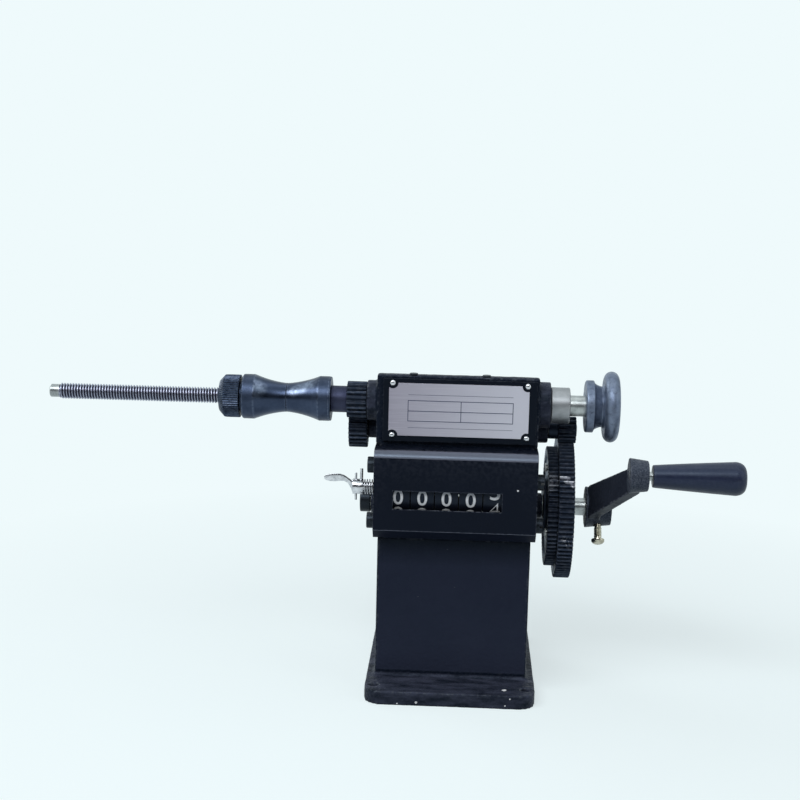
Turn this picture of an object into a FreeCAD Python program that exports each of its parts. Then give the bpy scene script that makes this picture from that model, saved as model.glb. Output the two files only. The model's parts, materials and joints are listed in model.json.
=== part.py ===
import FreeCAD, Part
import math
import os
import re

import Sketcher

# Hand-crank coil winding machine with a turns counter, millimetres.
# Origin: centre of the base's underside. +Z up, -Y towards the operator,
# the winding spindle runs along X with its threaded end at -X and the crank at +X.

Vector = FreeCAD.Vector
Rotation = FreeCAD.Rotation
Placement = FreeCAD.Placement

doc = FreeCAD.newDocument("CoilWinder")

# ---------------------------------------------------------------- driving sizes

SIZES = {
    # frame casting: base plate
    "base_width": 84.0,
    "base_depth": 116.0,
    "base_thickness": 6.8,
    "base_corner": 8.0,
    "base_hole": 4.8,
    "base_hole_inset_x": 4.5,
    "base_hole_inset_y": 10.0,
    # frame casting: column, distances from the base's centre
    "column_width": 76.0,
    "column_front": 34.0,
    "column_back": 34.0,
    "column_wall": 3.2,
    "column_back_height": 60.0,
    "counter_sill": 78.3,
    # frame casting: head
    "head_overhang": 2.0,
    "head_front": 28.0,
    "head_back": 14.0,
    "head_bottom": 124.0,
    "head_top": 158.9,
    "head_wall": 4.0,
    "head_chamfer": 0.5,
    "head_lip": 4.5,
    "head_top_depth": 5.2,
    "head_shoulder": 145.0,
    # shaft axes
    "spindle_front": 16.0,
    "spindle_height": 144.0,
    "crank_back": 3.8,
    "crank_height": 87.9,
    "counter_front": 22.7,
    "counter_height": 101.0,
    # bearing bosses
    "spindle_boss_left": 5.3,
    "spindle_boss_left_diameter": 20.0,
    "spindle_boss_right": 6.0,
    "spindle_boss_right_diameter": 23.0,
    "countershaft_boss_diameter": 14.0,
    "crank_boss_left": 5.5,
    "crank_boss_right": 6.9,
    "crank_boss_diameter": 13.0,
    "idler_boss_diameter": 9.0,
    "idler_boss_length": 1.3,
    "spindle_bush_wall": 1.8,
    "countershaft_bush_wall": 1.5,
    "crank_bush_wall": 1.0,
    # fits
    "running_clearance": 0.05,
    "seat_clearance": 0.02,
    "end_play": 0.2,
    # gears
    "gear_module": 0.8,
    "pressure_angle": 25.0,
    "tooth_thinning": 0.08,
    "crank_teeth": 90,
    "second_teeth": 75,
    "pinion_teeth": 15,
    "countershaft_teeth": 28,
    "spindle_teeth": 21,
    "drive_teeth": 14,
    "idler_teeth": 35,
    "idler_pinion_teeth": 12,
    "units_teeth": 36,
    "carry_teeth": 8,
    "crank_gear_width": 7.8,
    "second_gear_width": 5.0,
    "spindle_gear_width": 9.9,
    "countershaft_gear_width": 9.4,
    "pinion_width": 9.0,
    "pinion_overlap": 0.3,
    "pinion_hub_diameter": 9.5,
    "drive_width": 3.6,
    "units_gear_width": 3.2,
    # winding spindle and what sits on it
    "spindle_diameter": 10.4,
    "thread_diameter": 7.9,
    "thread_pitch": 1.411,
    "thread_depth": 0.82,
    "spindle_reach": 137.7,
    "tip_diameter": 6.5,
    "tip_length": 4.6,
    "spacer_diameter": 13.3,
    "spacer_length": 8.0,
    "cone_length": 22.2,
    "cone_diameter": 22.4,
    "cone_neck_diameter": 14.6,
    "cone_neck_length": 1.0,
    "cone_land": 6.0,
    "cone_chamfer": 0.7,
    "cone_curve": 55.0,
    "cone_gap": 0.1,
    "nut_diameter": 21.5,
    "nut_length": 10.5,
    "nut_neck": 1.0,
    "nut_neck_diameter": 15.0,
    "nut_chamfer": 2.6,
    "nut_face_diameter": 15.5,
    "nut_edge": 0.5,
    "nut_flutes": 60,
    "nut_flute_depth": 0.35,
    "collar_diameter": 18.0,
    "collar_width": 9.3,
    "collar_chamfer": 0.5,
    "pulley_gap": 7.7,
    "pulley_small_diameter": 26.0,
    "pulley_groove_diameter": 20.3,
    "pulley_large_diameter": 35.5,
    "pulley_small_width": 4.6,
    "pulley_groove_width": 4.6,
    "pulley_large_width": 7.2,
    "pulley_edge": 0.6,
    "pulley_shoulder": 0.9,
    "half_round_allowance": 0.001,
    "set_screw_diameter": 4.0,
    "set_screw_recess": 0.4,
    "set_screw_socket": 1.4,
    # countershaft
    "countershaft_diameter": 7.0,
    "countershaft_overhang": 0.4,
    # crank
    "crank_shaft_diameter": 9.0,
    "crank_collar_diameter": 12.3,
    "crank_collar_width": 5.5,
    "hub_washer_diameter": 28.0,
    "hub_washer_width": 1.4,
    "shaft_exposed": 7.7,
    "crank_hub_diameter": 21.2,
    "crank_hub_end_diameter": 18.2,
    "crank_hub_length": 13.3,
    "crank_radius": 50.0,
    "crank_rise_angle": 31.9,
    "arm_setback": 1.3,
    "arm_offset": 15.8,
    "arm_lean_start": 10.0,
    "arm_lean_end": 41.6,
    "arm_thickness": 6.0,
    "arm_width_hub": 17.8,
    "arm_width_boss": 11.7,
    "handle_boss_diameter": 17.4,
    "handle_boss_end_diameter": 14.9,
    "handle_boss_length": 9.3,
    "handle_pin_diameter": 4.4,
    "grip_gap": 2.1,
    "grip_length": 45.0,
    "grip_diameter": 11.2,
    "grip_edge": 0.5,
    "grip_curve": 135.0,
    "grip_end_diameter": 16.5,
    "grip_end_curve": 5.0,
    "grip_tip_diameter": 8.2,
    "grip_bore_depth": 32.0,
    "clamp_screw_diameter": 4.0,
    "clamp_screw_exposed": 6.8,
    "clamp_head_diameter": 6.8,
    "clamp_head_height": 2.5,
    "rivet_diameter": 3.0,
    "rivet_head_diameter": 5.0,
    "rivet_head_height": 0.6,
    "rivet_circle": 20.0,
    # counter
    "cheek_thickness": 2.2,
    "cover_front": 40.0,
    "cover_back": 12.0,
    "cover_top": 123.2,
    "cover_sheet": 1.2,
    "cover_round": 5.0,
    "cover_bevel": 4.8,
    "window_margin_left": 2.5,
    "window_margin_right": 3.4,
    "window_below_axis": 7.1,
    "window_above_axis": 2.2,
    "counter_drive_room": 9.45,
    "counter_left_room": 1.05,
    "wheel_gap": 0.4,
    "wheel_diameter": 30.0,
    "wheel_hub_diameter": 12.0,
    "wheel_rim": 2.4,
    "wheel_recess": 3.0,
    "reset_shaft_diameter": 5.0,
    "reset_bush_diameter": 8.0,
    "side_screw_diameter": 4.0,
    "side_screw_head_diameter": 8.1,
    "side_screw_head_height": 3.8,
    "side_screw_front": 26.0,
    "side_screw_low": 84.7,
    "side_screw_high_left": 113.0,
    "side_screw_high_right": 106.6,
    "idler_axle_diameter": 4.0,
    "idler_clip_diameter": 6.5,
    "idler_clip_width": 0.6,
    "carry_shaft_diameter": 3.0,
    "carry_distance": 19.6,
    "carry_angle": 35.0,
    "carry_pinion_width": 6.0,
    "blind_depth": 2.2,
    # reset key
    "key_hub_diameter": 7.8,
    "key_hub_length": 5.2,
    "spring_length": 5.6,
    "spring_wire": 0.7,
    "spring_diameter": 7.0,
    "spring_turns": 4,
    "wing_length": 14.6,
    "wing_rise": 6.4,
    "wing_thickness": 2.0,
    "cross_pin_place": 3.74,
    "cross_pin_diameter": 1.2,
    "cross_pin_length": 13.9,
    "stop_pin_place": 0.94,
    "stop_pin_diameter": 1.6,
    "stop_pin_length": 9.2,
    "retaining_ring_width": 0.75,
    # rating plate
    "backing_margin_left": 3.3,
    "backing_margin_right": 1.3,
    "backing_margin_low": 2.2,
    "backing_margin_high": 1.5,
    "backing_thickness": 2.0,
    "plate_margin_left": 2.8,
    "plate_margin_right": 3.8,
    "plate_margin_low": 2.9,
    "plate_margin_high": 2.1,
    "plate_thickness": 0.5,
    "plate_notch": 5.5,
    "plate_screw_inset_x": 4.6,
    "plate_screw_inset_z": 0.1,
    "plate_screw_diameter": 2.2,
    "plate_screw_head": 3.0,
    "plate_screw_head_height": 1.0,
    "plate_screw_length": 4.6,
    # oil plugs on the head
    "oil_plug_left": 22.1,
    "oil_plug_right": 13.8,
    "oil_plug_front": 25.2,
    "oil_plug_diameter": 3.6,
    "oil_plug_depth": 3.6,
    "oil_plug_head_diameter": 4.2,
    "oil_plug_head_height": 0.7,
}

WHEELS = ("units_wheel", "tens_wheel", "hundreds_wheel", "thousands_wheel", "ten_thousands_wheel")

# Values worked out from the driving sizes: places along X, and the axes that the gears set.
LAYOUT = {
    "head_width": "column_width+2*head_overhang",
    "side_wall_inside": "column_width/2-column_wall",
    "head_fall": "(head_top-head_shoulder)/(head_front+head_back-head_top_depth)",
    "roof_drop": "head_wall*sqrt(1+head_fall^2)",
    "roof_bend": "head_top_depth-head_front-(roof_drop-head_wall)/head_fall",
    "spindle_bush_diameter": "spindle_diameter+2*spindle_bush_wall",
    "countershaft_bush_diameter": "countershaft_diameter+2*countershaft_bush_wall",
    "crank_bush_diameter": "crank_shaft_diameter+2*crank_bush_wall",
    "crank_boss_end_left": "-(column_width/2+crank_boss_left)",
    "crank_boss_end_right": "column_width/2+crank_boss_right",
    "gear_end": "-(head_width/2+spindle_boss_left+end_play)",
    "spacer_end": "gear_end-spindle_gear_width",
    "inner_cone_end": "spacer_end-spacer_length",
    "outer_cone_end": "inner_cone_end-cone_length-cone_gap",
    "nut_end": "outer_cone_end-cone_length-cone_gap",
    "thread_start": "inner_cone_end-spindle_reach",
    "boss_face_right": "head_width/2+spindle_boss_right",
    "collar_start": "boss_face_right+end_play",
    "pulley_start": "collar_start+collar_width+pulley_gap",
    "pulley_width": "pulley_small_width+pulley_groove_width+pulley_large_width",
    "washer_start": "crank_boss_end_right+end_play",
    "second_gear_start": "washer_start+hub_washer_width",
    "crank_gear_start": "second_gear_start+second_gear_width",
    "crank_gear_end": "crank_gear_start+crank_gear_width",
    "crank_hub_start": "crank_gear_end+shaft_exposed",
    "crank_collar_start": "crank_boss_end_left-end_play",
    "arm_start": "crank_hub_start+arm_setback",
    "handle_boss_start": "arm_start+arm_offset",
    "grip_start": "handle_boss_start+handle_boss_length+grip_gap",
    "handle_y": "crank_back-crank_radius*cos(crank_rise_angle*1deg)",
    "handle_z": "crank_height+crank_radius*sin(crank_rise_angle*1deg)",
    "pinion_start": "crank_gear_start-pinion_overlap",
    "units_right": "side_wall_inside-counter_drive_room",
    "wheel_pitch": "(units_right+side_wall_inside-counter_left_room+wheel_gap)/%d" % len(WHEELS),
    "wheel_width": "wheel_pitch-wheel_gap",
    "units_centre": "units_right-wheel_width/2",
    "last_centre": "units_centre-%d*wheel_pitch" % (len(WHEELS) - 1),
    "window_left": "last_centre-window_margin_left",
    "window_right": "units_centre+window_margin_right",
    "units_gear_end": "units_right+units_gear_width",
    "idler_gear_end": "side_wall_inside-idler_boss_length-end_play",
    "idler_gear_start": "idler_gear_end-drive_width",
    "cover_outside": "column_width/2+cheek_thickness",
    "key_hub_start": "-(cover_outside+end_play+spring_length+end_play)",
    "cross_pin_x": "key_hub_start-cross_pin_place",
    "stop_pin_x": "key_hub_start-stop_pin_place",
    "spring_rise": "(spring_length-spring_wire)/(2*spring_turns)",
    "spring_ring_diameter": "sqrt(spring_diameter^2+spring_rise^2)",
    "carry_y": "carry_distance*cos(carry_angle*1deg)-counter_front",
    "carry_z": "counter_height-carry_distance*sin(carry_angle*1deg)",
    "backing_left": "backing_margin_left-head_width/2",
    "backing_right": "head_width/2-backing_margin_right",
    "backing_low": "head_bottom+backing_margin_low",
    "backing_high": "head_top-backing_margin_high",
    "plate_left": "backing_left+plate_margin_left",
    "plate_right": "backing_right-plate_margin_right",
    "plate_low": "backing_low+plate_margin_low",
    "plate_high": "backing_high-plate_margin_high",
}


def crossing_axis(name, start, end, radius_start, radius_end):
    """Layout formulas for the axis that lies radius_start from one axis and radius_end from
    another, on the side away from the operator."""
    run_y = "((%s)-(%s))" % (end[0], start[0])
    run_z = "((%s)-(%s))" % (end[1], start[1])
    span = name + "_span"
    along = name + "_along"
    off = name + "_off"
    LAYOUT[span] = "sqrt(%s^2+%s^2)" % (run_y, run_z)
    LAYOUT[along] = "((%s)^2-(%s)^2+%s^2)/(2*%s)" % (radius_start, radius_end, span, span)
    LAYOUT[off] = "sqrt((%s)^2-%s^2)" % (radius_start, along)
    LAYOUT[name + "_y"] = "(%s)+(%s*%s-%s*%s)/%s" % (start[0], along, run_y, off, run_z, span)
    LAYOUT[name + "_z"] = "(%s)+(%s*%s+%s*%s)/%s" % (start[1], along, run_z, off, run_y, span)


SPINDLE = ("-spindle_front", "spindle_height")
CRANK = ("crank_back", "crank_height")
COUNTER = ("-counter_front", "counter_height")
COUNTERSHAFT = ("countershaft_y", "countershaft_z")
IDLER = ("idler_y", "idler_z")
CARRY = ("carry_y", "carry_z")
HANDLE = ("handle_y", "handle_z")

crossing_axis("countershaft", SPINDLE, CRANK,
              "gear_module*(spindle_teeth+countershaft_teeth)/2",
              "gear_module*(crank_teeth+pinion_teeth)/2")
crossing_axis("idler", COUNTERSHAFT, COUNTER,
              "gear_module*(drive_teeth+idler_teeth)/2",
              "gear_module*(idler_pinion_teeth+units_teeth)/2")

sizes_sheet = doc.addObject("Spreadsheet::Sheet", "Sizes")
for row, (alias, size) in enumerate(SIZES.items(), start=1):
    sizes_sheet.set("A%d" % row, alias.replace("_", " "))
    sizes_sheet.set("B%d" % row, str(size))
    sizes_sheet.setAlias("B%d" % row, alias)
doc.recompute()


def qualified(text):
    """An expression with each alias written out with the sheet that holds it."""
    def owner(match):
        word = match.group()
        if word in SIZES:
            return "Sizes." + word
        if word in LAYOUT:
            return "Layout." + word
        return word
    return re.sub(r"[a-z][a-z0-9_]*", owner, text)


layout_sheet = doc.addObject("Spreadsheet::Sheet", "Layout")
for row, (alias, formula) in enumerate(LAYOUT.items(), start=1):
    layout_sheet.set("A%d" % row, alias.replace("_", " "))
    layout_sheet.set("B%d" % row, "=" + qualified(formula).replace("Layout.", ""))
    layout_sheet.setAlias("B%d" % row, alias)
doc.recompute()


def number(text):
    """The present value of an expression in the two sheets' aliases."""
    result = sizes_sheet.evalExpression(qualified(text))
    return float(getattr(result, "Value", result))


# ---------------------------------------------------------------- modelling helpers

ALONG = {
    "+X": Rotation(Vector(0, 1, 0), 90),
    "-X": Rotation(Vector(0, 1, 0), -90),
    "+Y": Rotation(Vector(1, 0, 0), -90),
    "-Y": Rotation(Vector(1, 0, 0), 90),
    "+Z": Rotation(),
    "-Z": Rotation(Vector(1, 0, 0), 180),
}
SIDE_PLANE = Rotation(Vector(1, 1, 1), 120)   # a sketch's x, y become Y, Z and its normal X
FRONT_PLANE = Rotation(Vector(1, 0, 0), 90)   # a sketch's x, y become X, Z and its normal -Y

nodes = []


def node(part):
    """Marks a finished sub-part; its Label names its file."""
    nodes.append(part)
    return part


def bind(part, field, text):
    part.setExpression(field, qualified(text))


def place(part, at, rotation=Rotation()):
    part.Placement = Placement(Vector(), rotation)
    for letter, text in zip("xyz", at):
        bind(part, "Placement.Base." + letter, text)


def cylinder(name, diameter, length, at, along="+X"):
    part = doc.addObject("Part::Cylinder", name)
    bind(part, "Radius", "(%s)/2" % diameter)
    bind(part, "Height", length)
    place(part, at, ALONG[along])
    return part


def taper(name, start_diameter, end_diameter, length, at):
    """A cone's frustum along X."""
    part = doc.addObject("Part::Cone", name)
    bind(part, "Radius1", "(%s)/2" % start_diameter)
    bind(part, "Radius2", "(%s)/2" % end_diameter)
    bind(part, "Height", length)
    place(part, at, ALONG["+X"])
    return part


def box(name, size, corner):
    part = doc.addObject("Part::Box", name)
    for field, text in zip(("Length", "Width", "Height"), size):
        bind(part, field, text)
    place(part, corner)
    return part


def fuse(name, parts):
    part = doc.addObject("Part::MultiFuse", name)
    part.Shapes = parts
    part.Refine = True
    return part


def cut(name, base, tools):
    part = doc.addObject("Part::Cut", name)
    part.Base = base
    part.Tool = tools[0] if len(tools) == 1 else group(name + "_tools", tools)
    return part


def group(name, parts):
    part = doc.addObject("Part::Compound", name)
    part.Links = parts
    return part


def sketch(name, points, rotation=Rotation(), at=("0", "0", "0")):
    """A closed outline whose corners are bound to the sheets. A point is (x, y), or
    (x, y, radius, side) where the edge that reaches it is an arc that bulges to the
    left (+1) or right (-1) of its direction."""
    outline = doc.addObject("Sketcher::SketchObject", name)
    place(outline, at, rotation)
    corners = [Vector(number(point[0]), number(point[1]), 0) for point in points]
    last = len(points) - 1
    for index, corner in enumerate(corners):
        following = 0 if index == last else index + 1
        target = points[following]
        if len(target) == 2:
            outline.addGeometry(Part.LineSegment(corner, corners[following]), False)
        else:
            outline.addGeometry(arc_between(corner, corners[following], number(target[2]), target[3]), False)
    for index, point in enumerate(points):
        following = 0 if index == last else index + 1
        outline.addConstraint(Sketcher.Constraint("Coincident", index, end_of(points[following]),
                                                  following, start_of(points, following)))
    for index, point in enumerate(points):
        vertex = start_of(points, index)
        for kind, text in (("DistanceX", point[0]), ("DistanceY", point[1])):
            added = outline.addConstraint(Sketcher.Constraint(kind, -1, 1, index, vertex, number(text)))
            outline.setExpression("Constraints[%d]" % added, qualified(text))
        if len(point) == 4:
            edge = last if index == 0 else index - 1
            added = outline.addConstraint(Sketcher.Constraint("Radius", edge, number(point[2])))
            outline.setExpression("Constraints[%d]" % added, qualified(point[2]))
    return outline


def start_of(points, index):
    """Which end of edge number index lies at its first corner: a clockwise arc is stored reversed."""
    target = points[0 if index == len(points) - 1 else index + 1]
    return 2 if len(target) == 4 and target[3] > 0 else 1


def end_of(target):
    return 1 if len(target) == 4 and target[3] > 0 else 2


def arc_between(start, end, radius, side):
    chord = end.sub(start)
    middle = (start + end) * 0.5
    height = radius - math.sqrt(radius ** 2 - (chord.Length / 2) ** 2)
    normal = Vector(-chord.y, chord.x, 0) * (side / chord.Length)
    circle = Part.Arc(start, middle + normal * height, end).toShape().Curve
    centre = circle.Center
    first, second = (end, start) if side > 0 else (start, end)
    angles = [math.atan2(point.y - centre.y, point.x - centre.x) for point in (first, second)]
    return Part.ArcOfCircle(Part.Circle(centre, Vector(0, 0, 1), radius), angles[0], angles[1])


def extruded(name, outline, length, direction=Vector(1, 0, 0), symmetric=False):
    part = doc.addObject("Part::Extrusion", name)
    part.Base = outline
    part.DirMode = "Custom"
    part.Dir = direction
    part.Solid = True
    part.Symmetric = symmetric
    bind(part, "LengthFwd", length)
    return part


def revolved(name, points, axis, start="0"):
    """A turned piece: points are (x, radius) about an axis along X at (y, z)."""
    outline = sketch(name + "_profile", points, at=(start,) + axis)
    part = doc.addObject("Part::Revolution", name)
    part.Source = outline
    part.Axis = Vector(1, 0, 0)
    part.Angle = 360
    part.Solid = True
    bind(part, "Base.y", axis[0])
    bind(part, "Base.z", axis[1])
    return part


def sleeve(name, outer, inner, length, start, axis):
    """A plain tube along X."""
    body = cylinder(name + "_body", outer, length, (start,) + axis)
    bore = cylinder(name + "_bore", inner, length, (start,) + axis)
    return cut(name, body, [bore])


def running(diameter):
    return "(%s)+2*running_clearance" % diameter


def seated(diameter):
    return "(%s)+2*seat_clearance" % diameter


# ---------------------------------------------------------------- gears

ADDENDUM = 0.95   # in modules
DEDENDUM = 1.25


def involute(angle):
    return math.tan(angle) - angle


def tooth_outline(name, teeth, at, towards=None, gap=False):
    """Face of a spur gear with flanks in two straight steps. The first tooth, or with gap the
    first space, points at the axis `towards`."""
    count = int(round(number(teeth)))
    module = number("gear_module")
    pressure = math.radians(number("pressure_angle"))
    pitch_radius = module * count / 2
    base_radius = pitch_radius * math.cos(pressure)
    radii = (pitch_radius - DEDENDUM * module, pitch_radius, pitch_radius + ADDENDUM * module)
    half_tooth = math.pi / (2 * count) - number("tooth_thinning") / (2 * pitch_radius) + involute(pressure)
    half_angles = [half_tooth - involute(math.acos(min(1.0, base_radius / radius))) for radius in radii]
    step = 2 * math.pi / count
    first = 0.0
    if towards:
        away_y = number(towards[0]) - number(at[1])
        away_z = number(towards[1]) - number(at[2])
        first = math.atan2(away_z, away_y) + (step / 2 if gap else 0.0)
    flank = [(radius, -half) for radius, half in zip(radii, half_angles)]
    flank += [(radius, half) for radius, half in zip(reversed(radii), reversed(half_angles))]
    points = []
    for tooth in range(count):
        turn = first + tooth * step
        points += [Vector(0, radius * math.cos(turn + bend), radius * math.sin(turn + bend))
                   for radius, bend in flank]
    outline = doc.addObject("Part::Feature", name)
    outline.Shape = Part.Face(Part.makePolygon(points + points[:1]))
    place(outline, at)
    return outline


def gear(name, teeth, width, start, axis, bore, towards=None, gap=False, holes=()):
    at = (start,) + axis
    blank = extruded(name + "_blank", tooth_outline(name + "_teeth", teeth, at, towards, gap), width)
    hole = cylinder(name + "_bore", bore, width, at)
    return cut(name, blank, [hole] + list(holes))


# ---------------------------------------------------------------- frame casting

def build_base_plate():
    inner_x = "base_width-2*base_corner"
    inner_y = "base_depth-2*base_corner"
    wide = box("base_wide", ("base_width", inner_y, "base_thickness"),
               ("-base_width/2", "base_corner-base_depth/2", "0"))
    deep = box("base_deep", (inner_x, "base_depth", "base_thickness"),
               ("base_corner-base_width/2", "-base_depth/2", "0"))
    corners = []
    for side_x in "+-":
        for side_y in "+-":
            at = (side_x + "(base_width/2-base_corner)", side_y + "(base_depth/2-base_corner)", "0")
            corners.append(cylinder("base_corner_%d" % len(corners), "2*base_corner", "base_thickness",
                                    at, "+Z"))
    return fuse("base_plate", [wide, deep] + corners)


def build_casting():
    base = build_base_plate()
    column_outline = [
        ("-column_front", "base_thickness/2"),
        ("column_back", "base_thickness/2"),
        ("column_back", "column_back_height"),
        ("head_back", "head_bottom"),
        ("-head_front", "head_bottom"),
        ("-head_front", "counter_sill"),
        ("-column_front", "counter_sill"),
    ]
    column = extruded("column", sketch("column_side", column_outline, SIDE_PLANE), "column_width",
                      symmetric=True)
    head_outline = [
        ("-head_front", "head_bottom"),
        ("head_back", "head_bottom"),
        ("head_back", "head_shoulder"),
        ("head_top_depth-head_front", "head_top"),
        ("head_chamfer-head_front", "head_top"),
        ("-head_front", "head_top-head_chamfer"),
    ]
    head = extruded("head", sketch("head_side", head_outline, SIDE_PLANE), "head_width", symmetric=True)

    left_reach = "(head_width/2+spindle_boss_left)"
    bosses = [
        cylinder("spindle_boss_l", "spindle_boss_left_diameter", left_reach + "-side_wall_inside",
                 ("-" + left_reach,) + SPINDLE),
        cylinder("spindle_boss_r", "spindle_boss_right_diameter", "boss_face_right-side_wall_inside",
                 ("side_wall_inside",) + SPINDLE),
        cylinder("countershaft_boss_l", "countershaft_boss_diameter", left_reach + "-side_wall_inside",
                 ("-" + left_reach,) + COUNTERSHAFT),
        cylinder("countershaft_boss_r", "countershaft_boss_diameter", "boss_face_right-side_wall_inside",
                 ("side_wall_inside",) + COUNTERSHAFT),
        cylinder("crank_boss_l", "crank_boss_diameter", "column_wall+crank_boss_left",
                 ("crank_boss_end_left",) + CRANK),
        cylinder("crank_boss_r", "crank_boss_diameter", "column_wall+crank_boss_right",
                 ("side_wall_inside",) + CRANK),
        cylinder("idler_boss", "idler_boss_diameter", "idler_boss_length+column_wall/2",
                 ("side_wall_inside-idler_boss_length",) + IDLER),
    ]
    open_back = "(column_back+column_wall)"
    roof_at_back = "head_top-roof_drop-head_fall*(%s+head_front-head_top_depth)" % open_back
    cavity_outline = [
        ("column_wall-column_front", "base_thickness"),
        (open_back, "base_thickness"),
        (open_back, roof_at_back),
        ("roof_bend", "head_top-head_wall"),
        ("head_wall-head_front", "head_top-head_wall"),
        ("head_wall-head_front", "head_bottom-head_lip"),
        ("-cover_front", "head_bottom-head_lip"),
        ("-cover_front", "counter_sill"),
        ("column_wall-column_front", "counter_sill"),
    ]
    cavity = extruded("cavity", sketch("cavity_side", cavity_outline, SIDE_PLANE), "2*side_wall_inside",
                      symmetric=True)
    shell = cut("casting_shell", fuse("casting_block", [base, column, head]), [cavity])
    solid = fuse("casting_solid", [shell] + bosses)

    across_head = left_reach + "+boss_face_right"
    tools = [
        cylinder("spindle_bush_hole", seated("spindle_bush_diameter"), across_head,
                 ("-" + left_reach,) + SPINDLE),
        cylinder("countershaft_bush_hole", seated("countershaft_bush_diameter"), across_head,
                 ("-" + left_reach,) + COUNTERSHAFT),
        cylinder("crank_bush_hole", seated("crank_bush_diameter"), "crank_boss_end_right-crank_boss_end_left",
                 ("crank_boss_end_left",) + CRANK),
        cylinder("counter_bush_hole", seated("reset_bush_diameter"), "2*cover_outside",
                 ("-cover_outside",) + COUNTER),
        cylinder("idler_axle_hole", seated("idler_axle_diameter"), "idler_boss_length+blind_depth",
                 ("side_wall_inside-idler_boss_length",) + IDLER),
        cylinder("carry_shaft_hole", seated("carry_shaft_diameter"), "2*(side_wall_inside+blind_depth)",
                 ("-(side_wall_inside+blind_depth)",) + CARRY),
    ]
    tools += base_holes() + plate_screw_tools() + oil_plug_tools() + side_screw_tools()
    return node(cut("frame_casting", solid, tools))


def base_holes():
    holes = []
    for side_x in "+-":
        for side_y in "+-":
            at = (side_x + "(base_width/2-base_hole_inset_x)", side_y + "(base_depth/2-base_hole_inset_y)",
                  "0")
            holes.append(cylinder("base_hole_%d" % len(holes), "base_hole", "base_thickness", at, "+Z"))
    return holes


# ---------------------------------------------------------------- bushes

def build_bushes():
    left_length = "head_width/2+spindle_boss_left-side_wall_inside"
    right_length = "boss_face_right-side_wall_inside"
    left_start = "-(head_width/2+spindle_boss_left)"
    for shaft, axis in (("spindle", SPINDLE), ("countershaft", COUNTERSHAFT)):
        outer = shaft + "_bush_diameter"
        inner = running(shaft + "_diameter")
        node(group(shaft + "_bushes", [
            sleeve(shaft + "_bush_left", outer, inner, left_length, left_start, axis),
            sleeve(shaft + "_bush_right", outer, inner, right_length, "side_wall_inside", axis),
        ]))
    inner = running("crank_shaft_diameter")
    node(group("crank_bushes", [
        sleeve("crank_bush_left", "crank_bush_diameter", inner, "column_wall+crank_boss_left",
               "crank_boss_end_left", CRANK),
        sleeve("crank_bush_right", "crank_bush_diameter", inner, "column_wall+crank_boss_right",
               "side_wall_inside", CRANK),
    ]))
    counter_length = "cover_outside-side_wall_inside"
    node(group("counter_bushes", [
        sleeve("counter_bush_left", "reset_bush_diameter", running("reset_shaft_diameter"), counter_length,
               "-cover_outside", COUNTER),
        sleeve("counter_bush_right", "reset_bush_diameter", running("reset_shaft_diameter"), counter_length,
               "side_wall_inside", COUNTER),
    ]))


# ---------------------------------------------------------------- rating plate and small fittings

def plate_screw_places():
    for x in ("backing_right-plate_screw_inset_x", "backing_left+plate_screw_inset_x"):
        for z in ("plate_high-plate_screw_inset_z", "plate_low+plate_screw_inset_z"):
            yield x, z


PLATE_FACE = "-(head_front+backing_thickness)"


def plate_screw_tools():
    return [cylinder("plate_screw_hole_%d" % index, seated("plate_screw_diameter"),
                     "plate_screw_length", (x, PLATE_FACE, z), "+Y")
            for index, (x, z) in enumerate(plate_screw_places())]


def build_rating_plate():
    backing = box("backing_block", ("backing_right-backing_left", "backing_thickness",
                                    "backing_high-backing_low"),
                  ("backing_left", PLATE_FACE, "backing_low"))
    holes = [cylinder("backing_hole_%d" % index, seated("plate_screw_diameter"), "backing_thickness",
                      (x, PLATE_FACE, z), "+Y") for index, (x, z) in enumerate(plate_screw_places())]
    node(cut("plate_backing", backing, holes))
    plate = box("plate_block", ("plate_right-plate_left", "plate_thickness", "plate_high-plate_low"),
                ("plate_left", PLATE_FACE + "-plate_thickness", "plate_low"))
    notches = [cylinder("plate_notch_%d" % index, "plate_notch", "plate_thickness",
                        (x, PLATE_FACE + "-plate_thickness", z), "+Y")
               for index, (x, z) in enumerate(plate_screw_places())]
    node(cut("rating_plate", plate, notches))
    screws = []
    for index, (x, z) in enumerate(plate_screw_places()):
        shank = cylinder("plate_screw_shank_%d" % index, "plate_screw_diameter", "plate_screw_length",
                         (x, PLATE_FACE, z), "+Y")
        head = cylinder("plate_screw_head_%d" % index, "plate_screw_head", "plate_screw_head_height",
                        (x, PLATE_FACE, z), "-Y")
        screws.append(fuse("plate_screw_%d" % index, [shank, head]))
    node(group("plate_screws", screws))


OIL_PLUGS = (("-oil_plug_left", "-oil_plug_front"), ("oil_plug_right", "-oil_plug_front"))


def oil_plug_tools():
    return [cylinder("oil_hole_%d" % index, seated("oil_plug_diameter"), "oil_plug_depth+seat_clearance",
                     (x, y, "head_top"), "-Z") for index, (x, y) in enumerate(OIL_PLUGS)]


def build_oil_plugs():
    plugs = []
    for index, (x, y) in enumerate(OIL_PLUGS):
        stem = cylinder("oil_plug_stem_%d" % index, "oil_plug_diameter", "oil_plug_depth",
                        (x, y, "head_top"), "-Z")
        head = cylinder("oil_plug_head_%d" % index, "oil_plug_head_diameter", "oil_plug_head_height",
                        (x, y, "head_top"), "+Z")
        plugs.append(fuse("oil_plug_%d" % index, [stem, head]))
    node(group("oil_plugs", plugs))


# ---------------------------------------------------------------- counter cover and its screws

SIDE_SCREWS = (
    ("-", "side_screw_low"),
    ("-", "side_screw_high_left"),
    ("+", "side_screw_low"),
    ("+", "side_screw_high_right"),
)


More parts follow.
